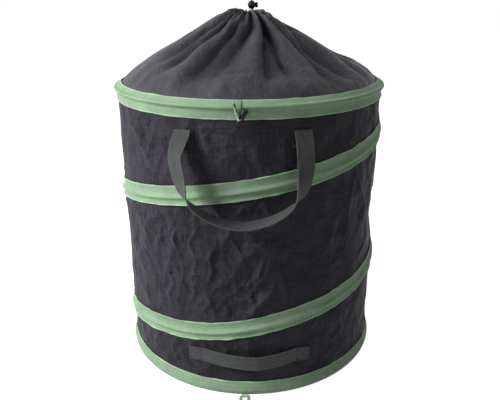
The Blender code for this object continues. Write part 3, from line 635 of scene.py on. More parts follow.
def wall_relief(around, height):
    """How far the wall's cloth stands out from its cylinder."""
    gap = band_gap(around, height)
    clear = smoothstep(0.0, 0.012, gap)
    # Slack between the tapes
    wide = smoothstep(0.0, 0.085, gap)
    slack = 0.5 + 0.5 * np.tanh(1.3 * ripple(around, height, "wall slack"))
    taut = np.exp(-((signed(around - TAUT_ANGLE) / 0.45) ** 2))
    relief = -SAG * wide * slack * (1 - 0.85 * taut)
    dent = signed(around - DENT_ANGLE) / 0.30
    relief -= SAG * np.exp(-(dent**2) - ((height - DENT_HEIGHT) / 0.055) ** 2) * wide
    # Soft waves, and puckers along the tapes
    relief += 0.0011 * clear * ripple(around, height, "wall waves")
    pull = np.exp(-np.maximum(gap, 0) / 0.018) * clear
    relief += 0.0007 * pull * ripple(around, 0.15 * height, "wall puckers")
    # Creases: random ones, and those that the photograph shows
    folds = np.zeros(relief.shape)
    rng = np.random.RandomState(11)
    for _ in range(RANDOM_CREASES):
        angle, z = rng.uniform(-math.pi, math.pi), rng.uniform(0.035, 0.505)
        lean, length = rng.normal(math.pi / 2, 0.85), rng.uniform(0.012, 0.045)
        lift, width = rng.uniform(0.0005, 0.0015) * rng.choice((-1, 1)), rng.uniform(0.0022, 0.005)
        bend = rng.normal(0, 0.45)
        near = math.cos(angle - CRUMPLED_ANGLE)
        busy = max(near, 0) ** 4 * math.exp(-(((z - CRUMPLED_HEIGHT) / 0.16) ** 2))
        route = [(angle, z)]
        for k in range(2):
            way = lean + k * bend
            angle += math.cos(way) * length / HOOP_RADIUS
            z += math.sin(way) * length
            route.append((angle, z))
        add_crease(folds, around, height, route, lift * (0.7 + 1.2 * busy), width)
    for pixels, lift, width in SEEN_CREASES:
        route = [on_wall(pixel) for pixel in pixels]
        add_crease(folds, around, height, route, SEEN_LIFT * lift, SEEN_WIDTH * width)
    return relief + folds * clear


def wall_clear_of_straps(around, height, relief):
    """Holds the cloth down where a strap is sewn to it or lies close."""
    spots = []
    for middle, reach, level, half_wide, half_high in (
        (FRONT, HANDLE_ANGLE, 0.4770, 0.026, 0.024),
        (REAR, HANDLE_ANGLE, 0.4710, 0.026, 0.024),
        (TIPPING_MIDDLE, TIPPING_REACH, 0.075, 0.030, 0.026),
    ):
        spots += [(middle + side * reach, level, half_wide, half_high) for side in (-1, 1)]
    limit = np.full(relief.shape, 1.0)
    for angle, z, half_wide, half_high in spots:
        x = np.abs(signed(around - angle)) * HOOP_RADIUS
        outside = np.maximum(x - half_wide, np.abs(height - z) - half_high)
        limit = np.minimum(limit, smoothstep(-0.006, 0.010, outside))
    return np.where(relief > 0, relief * limit, relief * (0.25 + 0.75 * limit))


def side_wall():
    steps, rows, thick = 760, 236, 0.001
    low, high = 0.003, TOP - 0.001
    around = np.linspace(-math.pi, math.pi, steps, endpoint=False)[:, None]
    height = np.linspace(high, low, rows)[None, :]
    relief = wall_clear_of_straps(around, height, wall_relief(around, height))
    sections = two_sided(around, *((WALL + relief - depth, height) for depth in (0.0, thick)))
    wall = swept("wall_cloth", sections, WALL_CLOTH, "base", closed=True)
    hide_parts("side_wall")
    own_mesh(wall)


def bottom_panel():
    """The bottom's cloth, pressed flat by the folded tape and a little slack inside it."""
    steps = 96
    radii = [WALL - 0.001, 0.225, 0.20, 0.16, 0.12, 0.08, 0.04, 0.015]
    angles = np.linspace(0, 2 * math.pi, steps, endpoint=False)
    points, faces = [], []
    for level in (0.0022, 0.0012):
        start = len(points)
        for radius in radii:
            free = smoothstep(0.235, 0.17, np.float64(radius))
            slack = 0.0002 * ripple(angles, radius * 9, "bottom slack") * free
            points += [
                (radius * math.cos(a), radius * math.sin(a), level + s)
                for a, s in zip(angles, slack)
            ]
        for ring in range(len(radii) - 1):
            for k in range(steps):
                a, b = start + ring * steps + k, start + ring * steps + (k + 1) % steps
                faces.append((a, b, b + steps, a + steps))
        faces.append([start + (len(radii) - 1) * steps + k for k in range(steps)])
    half = len(points) // 2
    faces += [(k, (k + 1) % steps, half + (k + 1) % steps, half + k) for k in range(steps)]
    panel = mesh_piece("bottom_cloth", points, faces, WALL_CLOTH, "base")
    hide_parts("bottom_panel")


# Heights above the wire at which the tapes' sections have points
TOP_TAPE_LEVELS = (
    -0.0025, -0.0034, -0.0044, -0.0056, -0.0072, -0.0095, -0.0120, -0.0145, -0.0165, -0.0180,
)
BOTTOM_TAPE_LEVELS = (
    0.0185, 0.0170, 0.0150, 0.0125, 0.0100, 0.0080, 0.0062, 0.0046, 0.0032, 0.0018, 0.0005,
    -0.0010, -0.0024, -0.0036,
)
# (outward, upward) from the wire, in under the bag
BOTTOM_TAPE_UNDER = (
    (0.0010, -0.0056), (-0.0004, -0.0072), (-0.0022, -0.0080), (-0.0070, -0.0080),
    (-0.0160, -0.0080),
)
SPIRAL_TAPE_LEVELS = (
    0.0188, 0.0165, 0.0135, 0.0105, 0.0080, 0.0064, 0.0052, 0.0041, 0.0031, 0.0021, 0.0011, 0.0,
    -0.0011, -0.0021, -0.0031, -0.0041, -0.0052, -0.0064, -0.0082, -0.0104, -0.0126,
)
# Profile of the plastic cap on each end of the spiral's wire
SPIRAL_CAP = (
    (0, 0), (0.0016, 0), (0.0022, 0.0006), (0.0023, 0.0012), (0.0023, 0.0094), (0.0020, 0.0100),
    (0.0017, 0.0100), (0.0017, 0.0012), (0, 0.0012),
)


def bell(z, width):
    """How far a tape stands off the flange's skin at this height from the wire."""
    return BELL * math.exp(-((z / width) ** 2))


def tape_skin(name, angles, centre, columns, body, limits=None, closed=True, lift=0.0006):
    """A tape from (x, z, inner x, inner z, distance to its edge) columns about the wire."""
    outside, inside, edges = [], [], []
    for x, z, inner_x, inner_z, edge in columns:
        away = smoothstep(0.010, 0.0, np.float64(edge))
        wave = ripple(angles, 60 * z + 3 * np.asarray(centre), "tape waves")
        lifted = lift * away * (0.8 + 1.1 * wave)
        fray = 0.0003 * (edge < 1e-6) * ripple(angles, 5 * np.asarray(centre), "tape edges")
        for rows, a, b in ((outside, x, z), (inside, inner_x, inner_z)):
            height = centre + b + fray
            if limits:
                height = np.clip(height, *limits)
            rows.append((HOOP_RADIUS + a + lifted, height))
        edges.append(edge)
    skins = [*outside, *inside[::-1]]
    sections = np.stack([round_axis(radius, angles, height) for radius, height in skins], axis=1)
    # The distance to the edge is stored for the paler selvage and the painted highlight along the
    # edges.
    stored = np.zeros(sections.shape)
    stored[:, :, 0] = edges + edges[::-1]
    tape = swept(name, sections, TAPE_CLOTH, body, closed=closed, cloth=stored)
    return tape, sections


def stitch_rows(name, rows, material, body, width=0.0010):
    """Small raised stitches along rows of (point, along, normal)."""
    points, faces = [], []
    for place, along, normal in rows:
        side = along.cross(normal).normalized() * (width / 2)
        step = along.normalized() * (STITCH_LENGTH / 2)
        lift = normal.normalized() * STITCH_HEIGHT
        base = len(points)
        points += [place - step - lift, place + side, place + step - lift, place - side]
        points += [place + lift, place - lift]
        for a, b in ((0, 1), (1, 2), (2, 3), (3, 0)):
            faces.append((base + a, base + b, base + 4))
            faces.append((base + b, base + a, base + 5))
    return mesh_piece(name, points, faces, material, body, smooth=False)


def rows_on(sections, columns, closed=True):
    """Places for stitches along columns of a tape's sections, at every second section."""
    rows = []
    count = len(sections)
    last = count if closed else count - 2
    for column in columns:
        for k in range(1, last, 2):
            here = Vector(sections[k][column])
            there = Vector(sections[(k + 1) % count][column])
            beside = Vector(sections[k][column + 1])
            along = there - here
            normal = along.cross(beside - here).normalized()
            if normal.dot(Vector((here.x, here.y, 0))) < 0:
                normal = -normal
            if along.length > 1e-6:
                rows.append((here + normal * 0.0001, along, normal))
    return rows


def hoop_tapes():
    steps = 720
    angles = np.linspace(-math.pi, math.pi, steps, endpoint=False)
    flange, inner_flange = FLANGE_OUT - HOOP_RADIUS, FLANGE_IN - HOOP_RADIUS

    # Top tape: the part that leans in over the closure, the ridge and the part that hangs
    drop = TOP - TOP_TAPE_LOW
    foot_x, foot_z = -0.00106, 0.00327
    columns = []
    for k in range(7):
        run = TOP_TAPE_RISE * (1 - k / 7)
        x, z = foot_x - math.sin(LEAN) * run, foot_z + math.cos(LEAN) * run
        inner = (x - math.cos(LEAN) * TAPE, z - math.sin(LEAN) * TAPE)
        columns.append((x, z, *inner, TOP_TAPE_RISE - run))
    ridge_start, ridge_arc = 104, 128
    for k in range(9):
        a = math.radians(ridge_start - ridge_arc * k / 8)
        c, s, inner = math.cos(a), math.sin(a), RIDGE - TAPE
        columns.append((RIDGE * c, RIDGE * s, inner * c, inner * s, 0.010))
    for z in (*TOP_TAPE_LEVELS, -drop):
        x = flange + bell(z + 0.0006, 0.0030)
        columns.append((x, z, x - TAPE, z, drop + z))
    tape, sections = tape_skin("top_tape_cloth", angles, TOP, columns, "top_frame")
    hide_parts("top_tape")
    last = len(columns)
    rows = rows_on(sections, (0, 3, last - 6, last - 2))
    stitch_rows("top_tape_stitches", rows, GREEN_THREAD, "top_frame")

    # Bottom tape: down the wall, round the wire and in under the bottom panel
    rise = BOTTOM_TAPE_HIGH - BOTTOM
    stand, bend, curl = 0.0049, 0.0022, 0.0095
    columns = []
    for z in (rise, *BOTTOM_TAPE_LEVELS):
        if z > bend:
            x = flange + min(stand, stand * (rise - z) / (rise - bend))
        else:
            x = flange + stand * math.sqrt(max(1 - ((z - bend) / curl) ** 2, 0))
        columns.append((x, z, x - TAPE, z, rise - z))
    for x, z in BOTTOM_TAPE_UNDER:
        inner_x = min(x - 0.0006, inner_flange) if z > -0.0079 else x
        columns.append((x, z, inner_x, z + TAPE, 0.010))
    tape, sections = tape_skin(
        "bottom_tape_cloth", angles, BOTTOM, columns, "base", limits=(0.0, 1.0)
    )
    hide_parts("bottom_tape")
    stitch_rows("bottom_tape_stitches", rows_on(sections, (1, 4)), GREEN_THREAD, "base")


def spiral_tape():
    """The tape round the spiral's wire, running out under both hoop tapes."""
    per_turn = 660
    drop = SPIRAL_PITCH / per_turn
    high, low = TOP_TAPE_LOW - 0.0001, BOTTOM_TAPE_HIGH + 0.0001
    first = math.ceil((TOP - high - SPIRAL_DROP + 0.0015) / drop)
    last = math.floor((TOP - low + SPIRAL_RISE - 0.0015) / drop)
    steps = np.arange(first, last + 1)
    angles = SPIRAL_START - steps * 2 * math.pi / per_turn
    centre = TOP - steps * drop
    centre = centre + droop(angles, centre)
    flange = FLANGE_OUT - HOOP_RADIUS
    columns = []
    for z in (SPIRAL_RISE, *SPIRAL_TAPE_LEVELS, -SPIRAL_DROP):
        flare = 0.0022 * smoothstep(-0.0050, -SPIRAL_DROP, np.float64(z)) ** 2
        x = flange + bell(z, 0.0044) + flare
        inner = min(x - TAPE, flange - TAPE + bell(z, 0.0038) + flare)
        columns.append((x, z, inner, z, min(SPIRAL_RISE - z, z + SPIRAL_DROP)))
    tape, sections = tape_skin(
        "spiral_tape_cloth", angles, centre, columns, "base",
        limits=(low, high), closed=False, lift=0.0007,
    )
    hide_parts("spiral_tape")
    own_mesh(tape)
    last = len(columns)
    rows = rows_on(sections, (1, 4, last - 5, last - 2), closed=False)
    rows = [row for row in rows if low + 0.001 < row[0].z < high - 0.001]
    seams = stitch_rows("spiral_tape_stitches", rows, GREEN_THREAD, "base")
    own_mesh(seams)


def spiral_spring():
    """The spring itself and its end caps."""
    per_turn, first, last = 48, 40, 752
    drop = SPIRAL_PITCH / per_turn
    route, sections = [], []
    turns = [2 * math.pi * i / 12 for i in range(12)]
    ring = [(WIRE_RADIUS * math.cos(t), WIRE_RADIUS * math.sin(t)) for t in turns]
    for k in range(first, last + 1):
        angle = SPIRAL_START - k * math.pi / (4 * per_turn)
        level = TOP - k * drop / 8
        place = polar(HOOP_RADIUS, angle, level + float(droop(angle, level)))
        route.append(place)
        sections.append([place + polar(out, angle, up) for out, up in ring])
    spring = swept("spiral_spring", sections[1:-1], STEEL, "base")
    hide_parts("spiral_wire")
    pieces = [spring]
    for name, end, after in (("upper", route[0], route[1]), ("lower", route[-1], route[-2])):
        turn = (after - end).to_track_quat("Z", "Y").to_matrix().to_4x4()
        place = Matrix.Translation(end) @ turn
        cap = lathed(f"spiral_end_{name}", SPIRAL_CAP, 24, place, PLASTIC, "base")
        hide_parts(f"spiral_cap_{name}")
        pieces.append(cap)
    for piece in pieces:
        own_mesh(piece)


# Closure: profile of (radius, height over the hoop), from the tape to the hem. The first 16
# points are in the photograph. Its folds start and end at these lengths along the profile.
FOLDS_START, FOLDS_END = 0.012, 0.262
CLOSURE_PROFILE = (
    (0.2455, 0.0004), (0.2440, 0.0022), (0.2410, 0.0050), (0.2378, 0.0085), (0.2310, 0.0165),
    (0.2170, 0.0290), (0.2000, 0.0410), (0.1770, 0.0550), (0.1520, 0.0700), (0.1270, 0.0840),
    (0.1030, 0.0965), (0.0820, 0.1080), (0.0620, 0.1185), (0.0460, 0.1250), (0.0340, 0.1295),
    (0.0260, 0.1312), (0.0200, 0.1310), (0.0160, 0.1295), (0.0138, 0.1262), (0.0142, 0.1225),
)
# Valleys between the folds that the photograph shows: pixels from the neck down,
# depth, half width in degrees to the left and to the right
SEEN_VALLEYS = (
    (((230, 13), (205, 27), (176, 47), (158, 62)), 0.010, 5.0, 9.0),
    (((233, 14), (214, 28), (196, 39), (164, 68)), 0.014, 5.0, 8.0),
    (((241, 16), (226, 33), (209, 52), (186, 84)), 0.013, 5.0, 9.0),
    (((253, 20), (243, 33), (233, 45), (217, 68)), 0.021, 11.0, 6.0),
    (((264, 18), (266, 43), (269, 79)), 0.016, 3.0, 5.0),
    (((268, 22), (276, 40), (286, 57), (292, 74)), 0.019, 8.0, 4.5),
    (((272, 17), (296, 40), (317, 62), (336, 90)), 0.012, 4.5, 6.5),
    (((276, 15), (306, 42), (330, 62), (351, 78)), 0.013, 4.0, 7.0),
    (((282, 18), (315, 37), (345, 57), (368, 78)), 0.011, 5.0, 6.0),
)
# Ends of the level tuck below the folds, in pixels
SEEN_TUCK = ((212, 71), (254, 73))


def run_along(profile):
    """Length along a profile at each of its points."""
    return np.concatenate([[0], np.cumsum(np.hypot(*np.diff(profile, axis=0).T))])


def fold_share(run):
    return np.clip((run - FOLDS_START) / (FOLDS_END - FOLDS_START), 0, 1)


def closure_spot(pixel):
    """(angle, share of the way up) of the point of the closure that this pixel shows."""
    start, ray = pixel_ray(pixel)
    cone = catmull(CLOSURE_PROFILE[:16], 5)
    reach = np.linspace(0.7, 1.35, 1300)
    x, y, z = (start[i] + reach * ray[i] for i in range(3))
    radius = np.hypot(x, y)
    under = z - TOP < np.interp(radius, cone[::-1, 0], cone[::-1, 1])
    k = int(np.argmax(under & (radius < CLOSURE_PROFILE[0][0])))
    run = np.interp(radius[k], cone[::-1, 0], run_along(cone)[::-1])
    return math.atan2(y[k], x[k]), float(fold_share(run))


def fold_valleys():
    """(shares, angles, depth, half widths, share where it fades out) of each valley: those
    that the photograph shows, and random ones round the back."""
    rng = np.random.RandomState(61)
    valleys = []
    for pixels, depth, left, right in SEEN_VALLEYS:
        spots = sorted((share, angle) for angle, share in (closure_spot(p) for p in pixels))
        shares, angles = zip(*spots)
        valleys.append((shares, angles, depth, left, right, shares[0] - 0.12))
    angle = -4.0
    while angle < 188:
        skew, wide = rng.uniform(-8, 8), rng.uniform(4, 9)
        angles = [math.radians(angle + skew), math.radians(angle)]
        depth, fade = rng.uniform(0.011, 0.019), rng.uniform(-0.05, 0.25)
        valleys.append(([0.1, 0.9], angles, depth, wide, 13 - wide, fade))
        angle += rng.uniform(13, 20)
    return valleys


def catmull(points, per_span):
    """A smooth curve through the points, as an array."""
    points = np.asarray(points, float)
    n = len(points)
    curve = []
    for i in range(n - 1):
        b, c = points[i], points[i + 1]
        a = points[i - 1] if i else 2 * b - c
        d = points[i + 2] if i + 2 < n else 2 * c - b
        for t in np.linspace(0, 1, per_span, endpoint=False):
            square, cube = a - 2.5 * b + 2 * c - 0.5 * d, 1.5 * (b - c) + 0.5 * (d - a)
            curve.append(b + (c - a) * (t / 2) + square * t**2 + cube * t**3)
    curve.append(points[-1])
    return np.array(curve)


def closure_folds(around, share):
    """Height of the gathered cloth over its cone: rounded folds, deep narrow valleys."""
    total = np.zeros(np.broadcast(around, share).shape)
    for shares, angles, depth, left, right, fade in fold_valleys():
        off = np.degrees(signed(around - np.interp(share, shares, angles)))
        half = np.where(off < 0, left, right)
        grow = smoothstep(fade, fade + 0.30, share) * (1 - 0.65 * smoothstep(0.72, 0.97, share))
        total -= depth * grow * np.exp(-((np.abs(off) / half) ** 1.25))
    return total


def closure_lift(around, share):
    """How far the closure's cloth stands off its cone."""
    free = smoothstep(0.0, 0.10, share)
    # Folds, and the small pleats that the drawcord gathers
    crown = smoothstep(0.72, 0.98, share)
    pleats = np.cos(21 * around + 1.6 * ripple(around, 0.0, "pleat bends"))
    pleats = pleats + 0.5 * ripple(around, 3 * share, "pleat sizes")
    lift = closure_folds(around, share) + 0.0032 * crown * pleats
    # Soft waves, and puckers along the tape
    lift = lift + 0.0017 * free * (1 - crown) * ripple(around, 0.25 * share, "closure waves")
    pull = np.exp(-share / 0.14) * free
    lift = lift + 0.0030 * pull * ripple(around, 0.03 * share, "closure puckers")
    # The tuck that the photograph shows below the folds
    (left, level), (right, _) = (closure_spot(pixel) for pixel in SEEN_TUCK)
    tuck = smoothstep(left - 0.03, left + 0.03, around)
    tuck = tuck * (1 - smoothstep(right - 0.05, right + 0.02, around))
    return lift - 0.0030 * tuck * np.exp(-np.abs(share - level) / 0.014) * free


def closure():
    steps, thick = 660, 0.0009
    profile = catmull(CLOSURE_PROFILE, 5)
    around = np.linspace(-math.pi, math.pi, steps, endpoint=False)[:, None]
    along = np.gradient(profile, axis=0)
    along /= np.linalg.norm(along, axis=1)[:, None]
    out, up = along[None, :, 1], -along[None, :, 0]
    cone, height = profile[None, :, 0], profile[None, :, 1]
    lift = closure_lift(around, fold_share(run_along(profile))[None, :])
    lift = np.where(cone < 0.022, lift * 0.75, lift)
    skins = []
    for depth in (0.0, thick):
        radius = np.maximum(cone + out * (lift - depth), 0.0085)
        skins.append((radius, TOP + height + up * (lift - depth)))
    # The lift is stored for the closure's painted shade in its valleys and painted light on its
    # ridges.
    stored = np.concatenate([lift, lift[:, ::-1]], axis=1)
    cloth = swept(
        "closure_cloth", two_sided(around, *skins), CLOSURE_CLOTH, "top_frame",
        closed=True, sharp=80, cloth=np.stack([stored, 0 * stored, 0 * stored], axis=2),
    )
    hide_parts("top_closure")


# Straps


def run_at(places, i):
    """The way that a route of Vectors runs at its point i."""
    return (places[min(i + 1, len(places) - 1)] - places[max(i - 1, 0)]).normalized()


def strap_section(centre, across, normal, width, thick):
    """A flat strap's section with rounded edges, and its stored cloth places."""
    w, t = across.normalized(), normal.normalized()
    half, h = width / 2, thick / 2
    outline = [(x, h) for x in (-half + 0.0003, -half / 2, 0, half / 2, half - 0.0003)]
    outline.append((half, h * 0.4))
    outline += [(x, -y) for x, y in outline[::-1]]
    return [centre + w * x + t * y for x, y in outline], [x for x, _ in outline]


def strap(name, rows, width, body, material=WEBBING):
    """A strap through rows of (centre, across, normal)."""
    sections, cloth = [], []
    run = 0.0
    for i, (place, across, normal) in enumerate(rows):
        if i:
            run += (place - rows[i - 1][0]).length
        points, xs = strap_section(place, across, normal, width, STRAP)
        sections.append(points)
        cloth.append([(run, x, 0) for x in xs])
    return swept(name, sections, material, body, cloth=cloth, sharp=40)


def handle_centres():
    """Centres and twists of the front handle's right half, in a frame that faces +Y."""
    leg = PATCH_OUTER + 0.0003 + STRAP / 2
    leg_x, leg_y = leg * math.sin(HANDLE_ANGLE), leg * math.cos(HANDLE_ANGLE)
    lean = TAPE_OUTER + 0.0165 - leg_y
    places = [
        (leg_x * x, leg_y + lean * y, -HANDLE_DROP * z, math.radians(t))
        for x, y, z, t in HANDLE_SHARES
    ]
    before = places[-2]
    places.append((-before[0], *before[1:]))
    count = 10
    return [(Vector(row[:3]), row[3]) for row in catmull(places, count)[:-count]]


def carry_handle(side, facing, fold):
    """The strap, which hangs in an arc from its two ends, and those ends."""
    route = handle_centres()
    places = [Vector((-p.x, p.y, p.z)) for p, _ in route[-2::-1]]
    twists = [t for _, t in route[-2::-1]]
    for place, twist in route[::-1]:
        # The leg on the photograph's left bows further out and twists sooner.
        down = place.z / HANDLE_DROP
        bow = math.exp(-(((down + 0.27) / 0.17) ** 2)) * smoothstep(0, 0.1, -down)
        places.insert(0, place + Vector((0.0065 * bow, 0, 0)))
        twists.insert(0, twist + 0.25 * bow)
    turn = Matrix.Rotation(facing - math.pi / 2, 3, "Z")
    rows = []
    for i, (place, twist) in enumerate(zip(places, twists)):
        along = run_at(places, i)
        wrap = math.atan2(place.x, place.y) * (1 - min(1, -place.z / HANDLE_DROP))
        outward = Vector((math.sin(wrap), math.cos(wrap), 0))
        normal = (outward - along * outward.dot(along)).normalized()
        swing = Matrix.Rotation(twist, 3, along)
        across = turn @ (swing @ along.cross(normal))
        rows.append((turn @ place + Vector((0, 0, fold)), across, turn @ (swing @ normal)))
    handle = strap(side + "_handle_strap", rows, STRAP_WIDTH, side + "_carry")
    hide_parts(side + "_handle")
    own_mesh(handle)
    for hand, angle in (("left", -HANDLE_ANGLE), ("right", HANDLE_ANGLE)):
        sewn_end(side, hand, facing + angle, fold)


def sewn_end(side, hand, angle, fold):
    """The handle's end, folded under and sewn to the wall in a box with a cross."""
    radius = WALL_OUTER + STRAP / 2
    inward = (1 if hand == "left" else -1) * 0.0022
    level = fold - 0.0145
    angles = [angle + (inward + (-1 + 2 * k / 12) * 0.0165) / radius for k in range(13)]
    rows = [(polar(radius, a, level), UP, polar(1, a, 0)) for a in angles]
    patch = strap(f"{side}_handle_end_{hand}", rows, 0.029, "top_frame", material=DARK_WEBBING)
    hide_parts(f"{side}_handle_patch_{hand}")
    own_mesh(patch)
    rows = box_stitches(angle + inward / radius, level, 0.0150, 0.0120, radius + STRAP / 2)
    name = f"{side}_handle_stitches_{hand}"
    sewn = stitch_rows(name, rows, PALE_THREAD, "top_frame", width=0.0013)
    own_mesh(sewn)


def box_stitches(angle, height, half_wide, half_high, radius):
    """A sewn box with a cross, on the cylinder of this radius."""
    corners = [(x * half_wide, z * half_high) for x, z in ((-1, -1), (1, -1), (1, 1), (-1, 1))]
    rows = []
    for start, end in ((0, 1), (1, 2), (2, 3), (3, 0), (0, 2), (1, 3)):
        (x0, z0), (x1, z1) = corners[start], corners[end]
        length = math.hypot(x1 - x0, z1 - z0)
        count = round(length / STITCH_PITCH)
        for k in range(count):
            t = (k + 0.5) / count
            x, z = x0 + (x1 - x0) * t, z0 + (z1 - z0) * t
            a = angle + x / radius
            tangent = polar(1, a + math.pi / 2, 0) * (x1 - x0) + Vector((0, 0, z1 - z0))
            rows.append((polar(radius, a, height + z), tangent, polar(1, a, 0)))
    return rows


def tipping_handle():
    """A strap sewn flat at both ends, which stands off the wall between them."""
    count, end = 72, 0.014 / WALL
    outer_reach, inner_reach = TIPPING_REACH + end, TIPPING_REACH - end
    # How far it stands off and sags at most, and how far its ends dip
    most_stand, most_sag, end_dip = 0.0135, 0.0012, 0.002
    inside, height = 0.2483, BOTTOM + 0.0685
    rows = []
    for k in range(count + 1):
        reach = (-1 + 2 * k / count) * outer_reach
        share = max(-1.0, min(1.0, reach / inner_reach))
        peak = share - 0.16 * (1 - share**2)
        rounded = max(0.0, math.cos(peak * math.pi / 2)) ** 1.2
        stand = most_stand * (0.45 * rounded + 0.55 * max(0.0, 1 - abs(peak)))
        tip = smoothstep(inner_reach, outer_reach, np.float64(abs(reach)))
        sag = -most_sag * math.cos(share * math.pi / 2) ** 2
        angle, level = TIPPING_MIDDLE + reach, height - end_dip * tip + sag
        rows.append((polar(inside + STRAP / 2 + stand, angle, level), UP, polar(1, angle, 0)))
    handle = strap("tipping_strap", rows, 0.0275, "base")
    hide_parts("tipping_handle")
    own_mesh(handle)
    rows = []
    for side in (-1, 1):
        angle = TIPPING_MIDDLE + side * TIPPING_REACH
        rows += box_stitches(angle, BOTTOM + 0.0678, 0.0120, 0.0118, 0.2484 + STRAP)
    sewn = stitch_rows("tipping_stitches", rows, DARK_THREAD, "base", width=0.0018)
    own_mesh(sewn)


# Cords


def cord_curve(name, points, radius, cyclic=False):
    data = bpy.data.curves.new(name, "CURVE")
    data.dimensions = "3D"
    data.bevel_depth = radius
    data.bevel_resolution = 4
    data.use_fill_caps = True
    spline = data.splines.new("POLY")
    spline.points.add(len(points) - 1)
    for place, point in zip(spline.points, points):
        place.co = (*point, 1)
    spline.use_cyclic_u = cyclic
    spline.use_smooth = True
    obj = added(name, data)
    data.materials.append(CORD)
    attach(obj, "top_frame")
    return obj


def drawcord():
    """The cord's run in the closure's hem, and its two ends up through the lock to their knot."""
    opening = math.radians(35)
    angles = [opening + (2 * math.pi - 2 * opening) * k / 48 for k in range(49)]
    places = [polar(HEM_RADIUS, a, HEM_HEIGHT) for a in angles]
    ring = cord_curve("drawcord_in_hem", places, CORD_RADIUS)
    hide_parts("drawcord_ring")
    knot = drawcord_knot()
    for name, side in (("left", 1), ("right", -1)):
        away = Vector((math.sin(opening), -side * math.cos(opening), 0))
        start = polar(HEM_RADIUS, side * opening, HEM_HEIGHT) + away * 0.0006
        step = Vector((CORD_RADIUS, side * CORD_RADIUS, CORD_RADIUS))
        base = Vector((LOCK.x, side * CORD_OFF, HEM_HEIGHT))
        route = [
            start,
            start + away * 2 * CORD_RADIUS,
            base + Vector((3.6 * step.x, step.y, 0.9 * step.z)),
            base + Vector((1.2 * step.x, 0.1 * step.y, 2.6 * step.z)),
        ]
        for rise in (-LOCK_BALL, 0, CORD_END):
            route.append(Vector((LOCK.x, side * CORD_OFF, LOCK.z + rise)))
        points = catmull([tuple(p) for p in route], 4)
        tail = cord_curve(f"drawcord_{name}", points, CORD_RADIUS)
        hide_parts(f"drawcord_tail_{name}")


def drawcord_knot():
    """An overhand knot that holds both tails: one fat turn round a core."""
    middle = Vector((LOCK.x, 0, LOCK.z + CORD_END + 0.0003 + 0.00425))
    points = []
    for k in range(60):
        t = 2 * math.pi * k / 60
        reach = 0.0016 + 0.0006 * math.cos(3 * t)
        place = (reach * math.cos(2 * t), reach * math.sin(2 * t), 0.0021 * math.sin(3 * t + 0.6))
        points.append(middle + Vector(place))
    knot = cord_curve("drawcord_end_knot", points, 0.00155, cyclic=True)
    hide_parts("drawcord_knot")
    return knot


# Moulded pieces


def lathed(name, profile, sides, matrix, material, body, sharp=40):
    """A solid turned about Z from (radius, height) points that start and end on the axis."""
    points, faces, rings = [], [], []
    for radius, height in profile:
        if radius < 1e-7:
            rings.append([len(points)])
            points.append(matrix @ Vector((0, 0, height)))
            continue
        rings.append(list(range(len(points), len(points) + sides)))
        points += [matrix @ polar(radius, 2 * math.pi * k / sides, height) for k in range(sides)]
    for a, b in zip(rings, rings[1:]):
        for k in range(sides):
            after = (k + 1) % sides
            quad = [a[k % len(a)], a[after % len(a)], b[after % len(b)], b[k % len(b)]]
            faces.append(list(dict.fromkeys(quad)))
    return mesh_piece(name, points, faces, material, body, sharp=sharp)


def drilled(obj, places, length):
    """Takes round holes for a cord out of obj for good."""
    tools = []
    for place in places:
        bm = bmesh.new()
        bmesh.ops.create_cone(
            bm, cap_ends=True, segments=24, radius1=CORD_HOLE, radius2=CORD_HOLE, depth=length
        )
        bm.transform(place)
        mesh = bpy.data.meshes.new("tool")
        bm.to_mesh(mesh)
        bm.free()
        tool = added("tool", mesh)
        tools.append(tool)
        modifier = obj.modifiers.new("cut", "BOOLEAN")
        modifier.object = tool
        modifier.operation = "DIFFERENCE"
        modifier.solver = "EXACT"
    bpy.context.view_layer.update()
    graph = bpy.context.evaluated_depsgraph_get()
    mesh = bpy.data.meshes.new_from_object(obj.evaluated_get(graph))
    obj.modifiers.clear()
    obj.data = mesh
    smoothed(mesh, 35)
    for tool in tools:
        bpy.data.objects.remove(tool, do_unlink=True)


def cord_lock():
    """A ball with a flat face and a pocket, and its push button, both with holes for the cord."""
    flat, pocket = 0.0046, 0.0053
    profile = [(0, -LOCK_BALL)]
    edge = math.asin(flat / LOCK_BALL)
    for k in range(1, 25):
        a = -math.pi / 2 + (edge + math.pi / 2) * k / 24
        profile.append((LOCK_BALL * math.cos(a), LOCK_BALL * math.sin(a)))
    rim = profile[-1][0]
    profile += [(rim - 0.0004, flat + 0.0001), (0.0042, flat + 0.0001), (0.0041, flat - 0.0002)]
    profile += [(0.0041, -pocket), (0, -pocket)]
    face_x = Matrix.Translation(LOCK) @ Matrix.Rotation(math.pi / 2, 4, "Y")
    start, stem = flat + 0.0003 + 0.0015, 0.0038
    button = [(0, -0.0026), (stem, -0.0026), (stem, start), (0.0047, start)]
    for radius, rise in (
        (0.0047, 0.0036), (0.0045, 0.0043), (0.0040, 0.0046), (0.0030, 0.0046), (0.0026, 0.0042),
        (0, 0.0041),
    ):
        button.append((radius, start + rise))
    for name, outline, sides, body, shift, node in (
        ("cord_lock_ball", profile, 48, "cord_lock", 0, "cord_lock_body"),
        ("cord_lock_plunger", button, 40, "lock_button", 0.0008, "cord_lock_button"),
    ):
        piece = lathed(name, outline, sides, face_x, PLASTIC, body)
        holes = [LOCK + Vector((shift, y, 0)) for y in (-CORD_OFF, CORD_OFF)]
        drilled(piece, [Matrix.Translation(hole) for hole in holes], 0.03)
        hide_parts(node)


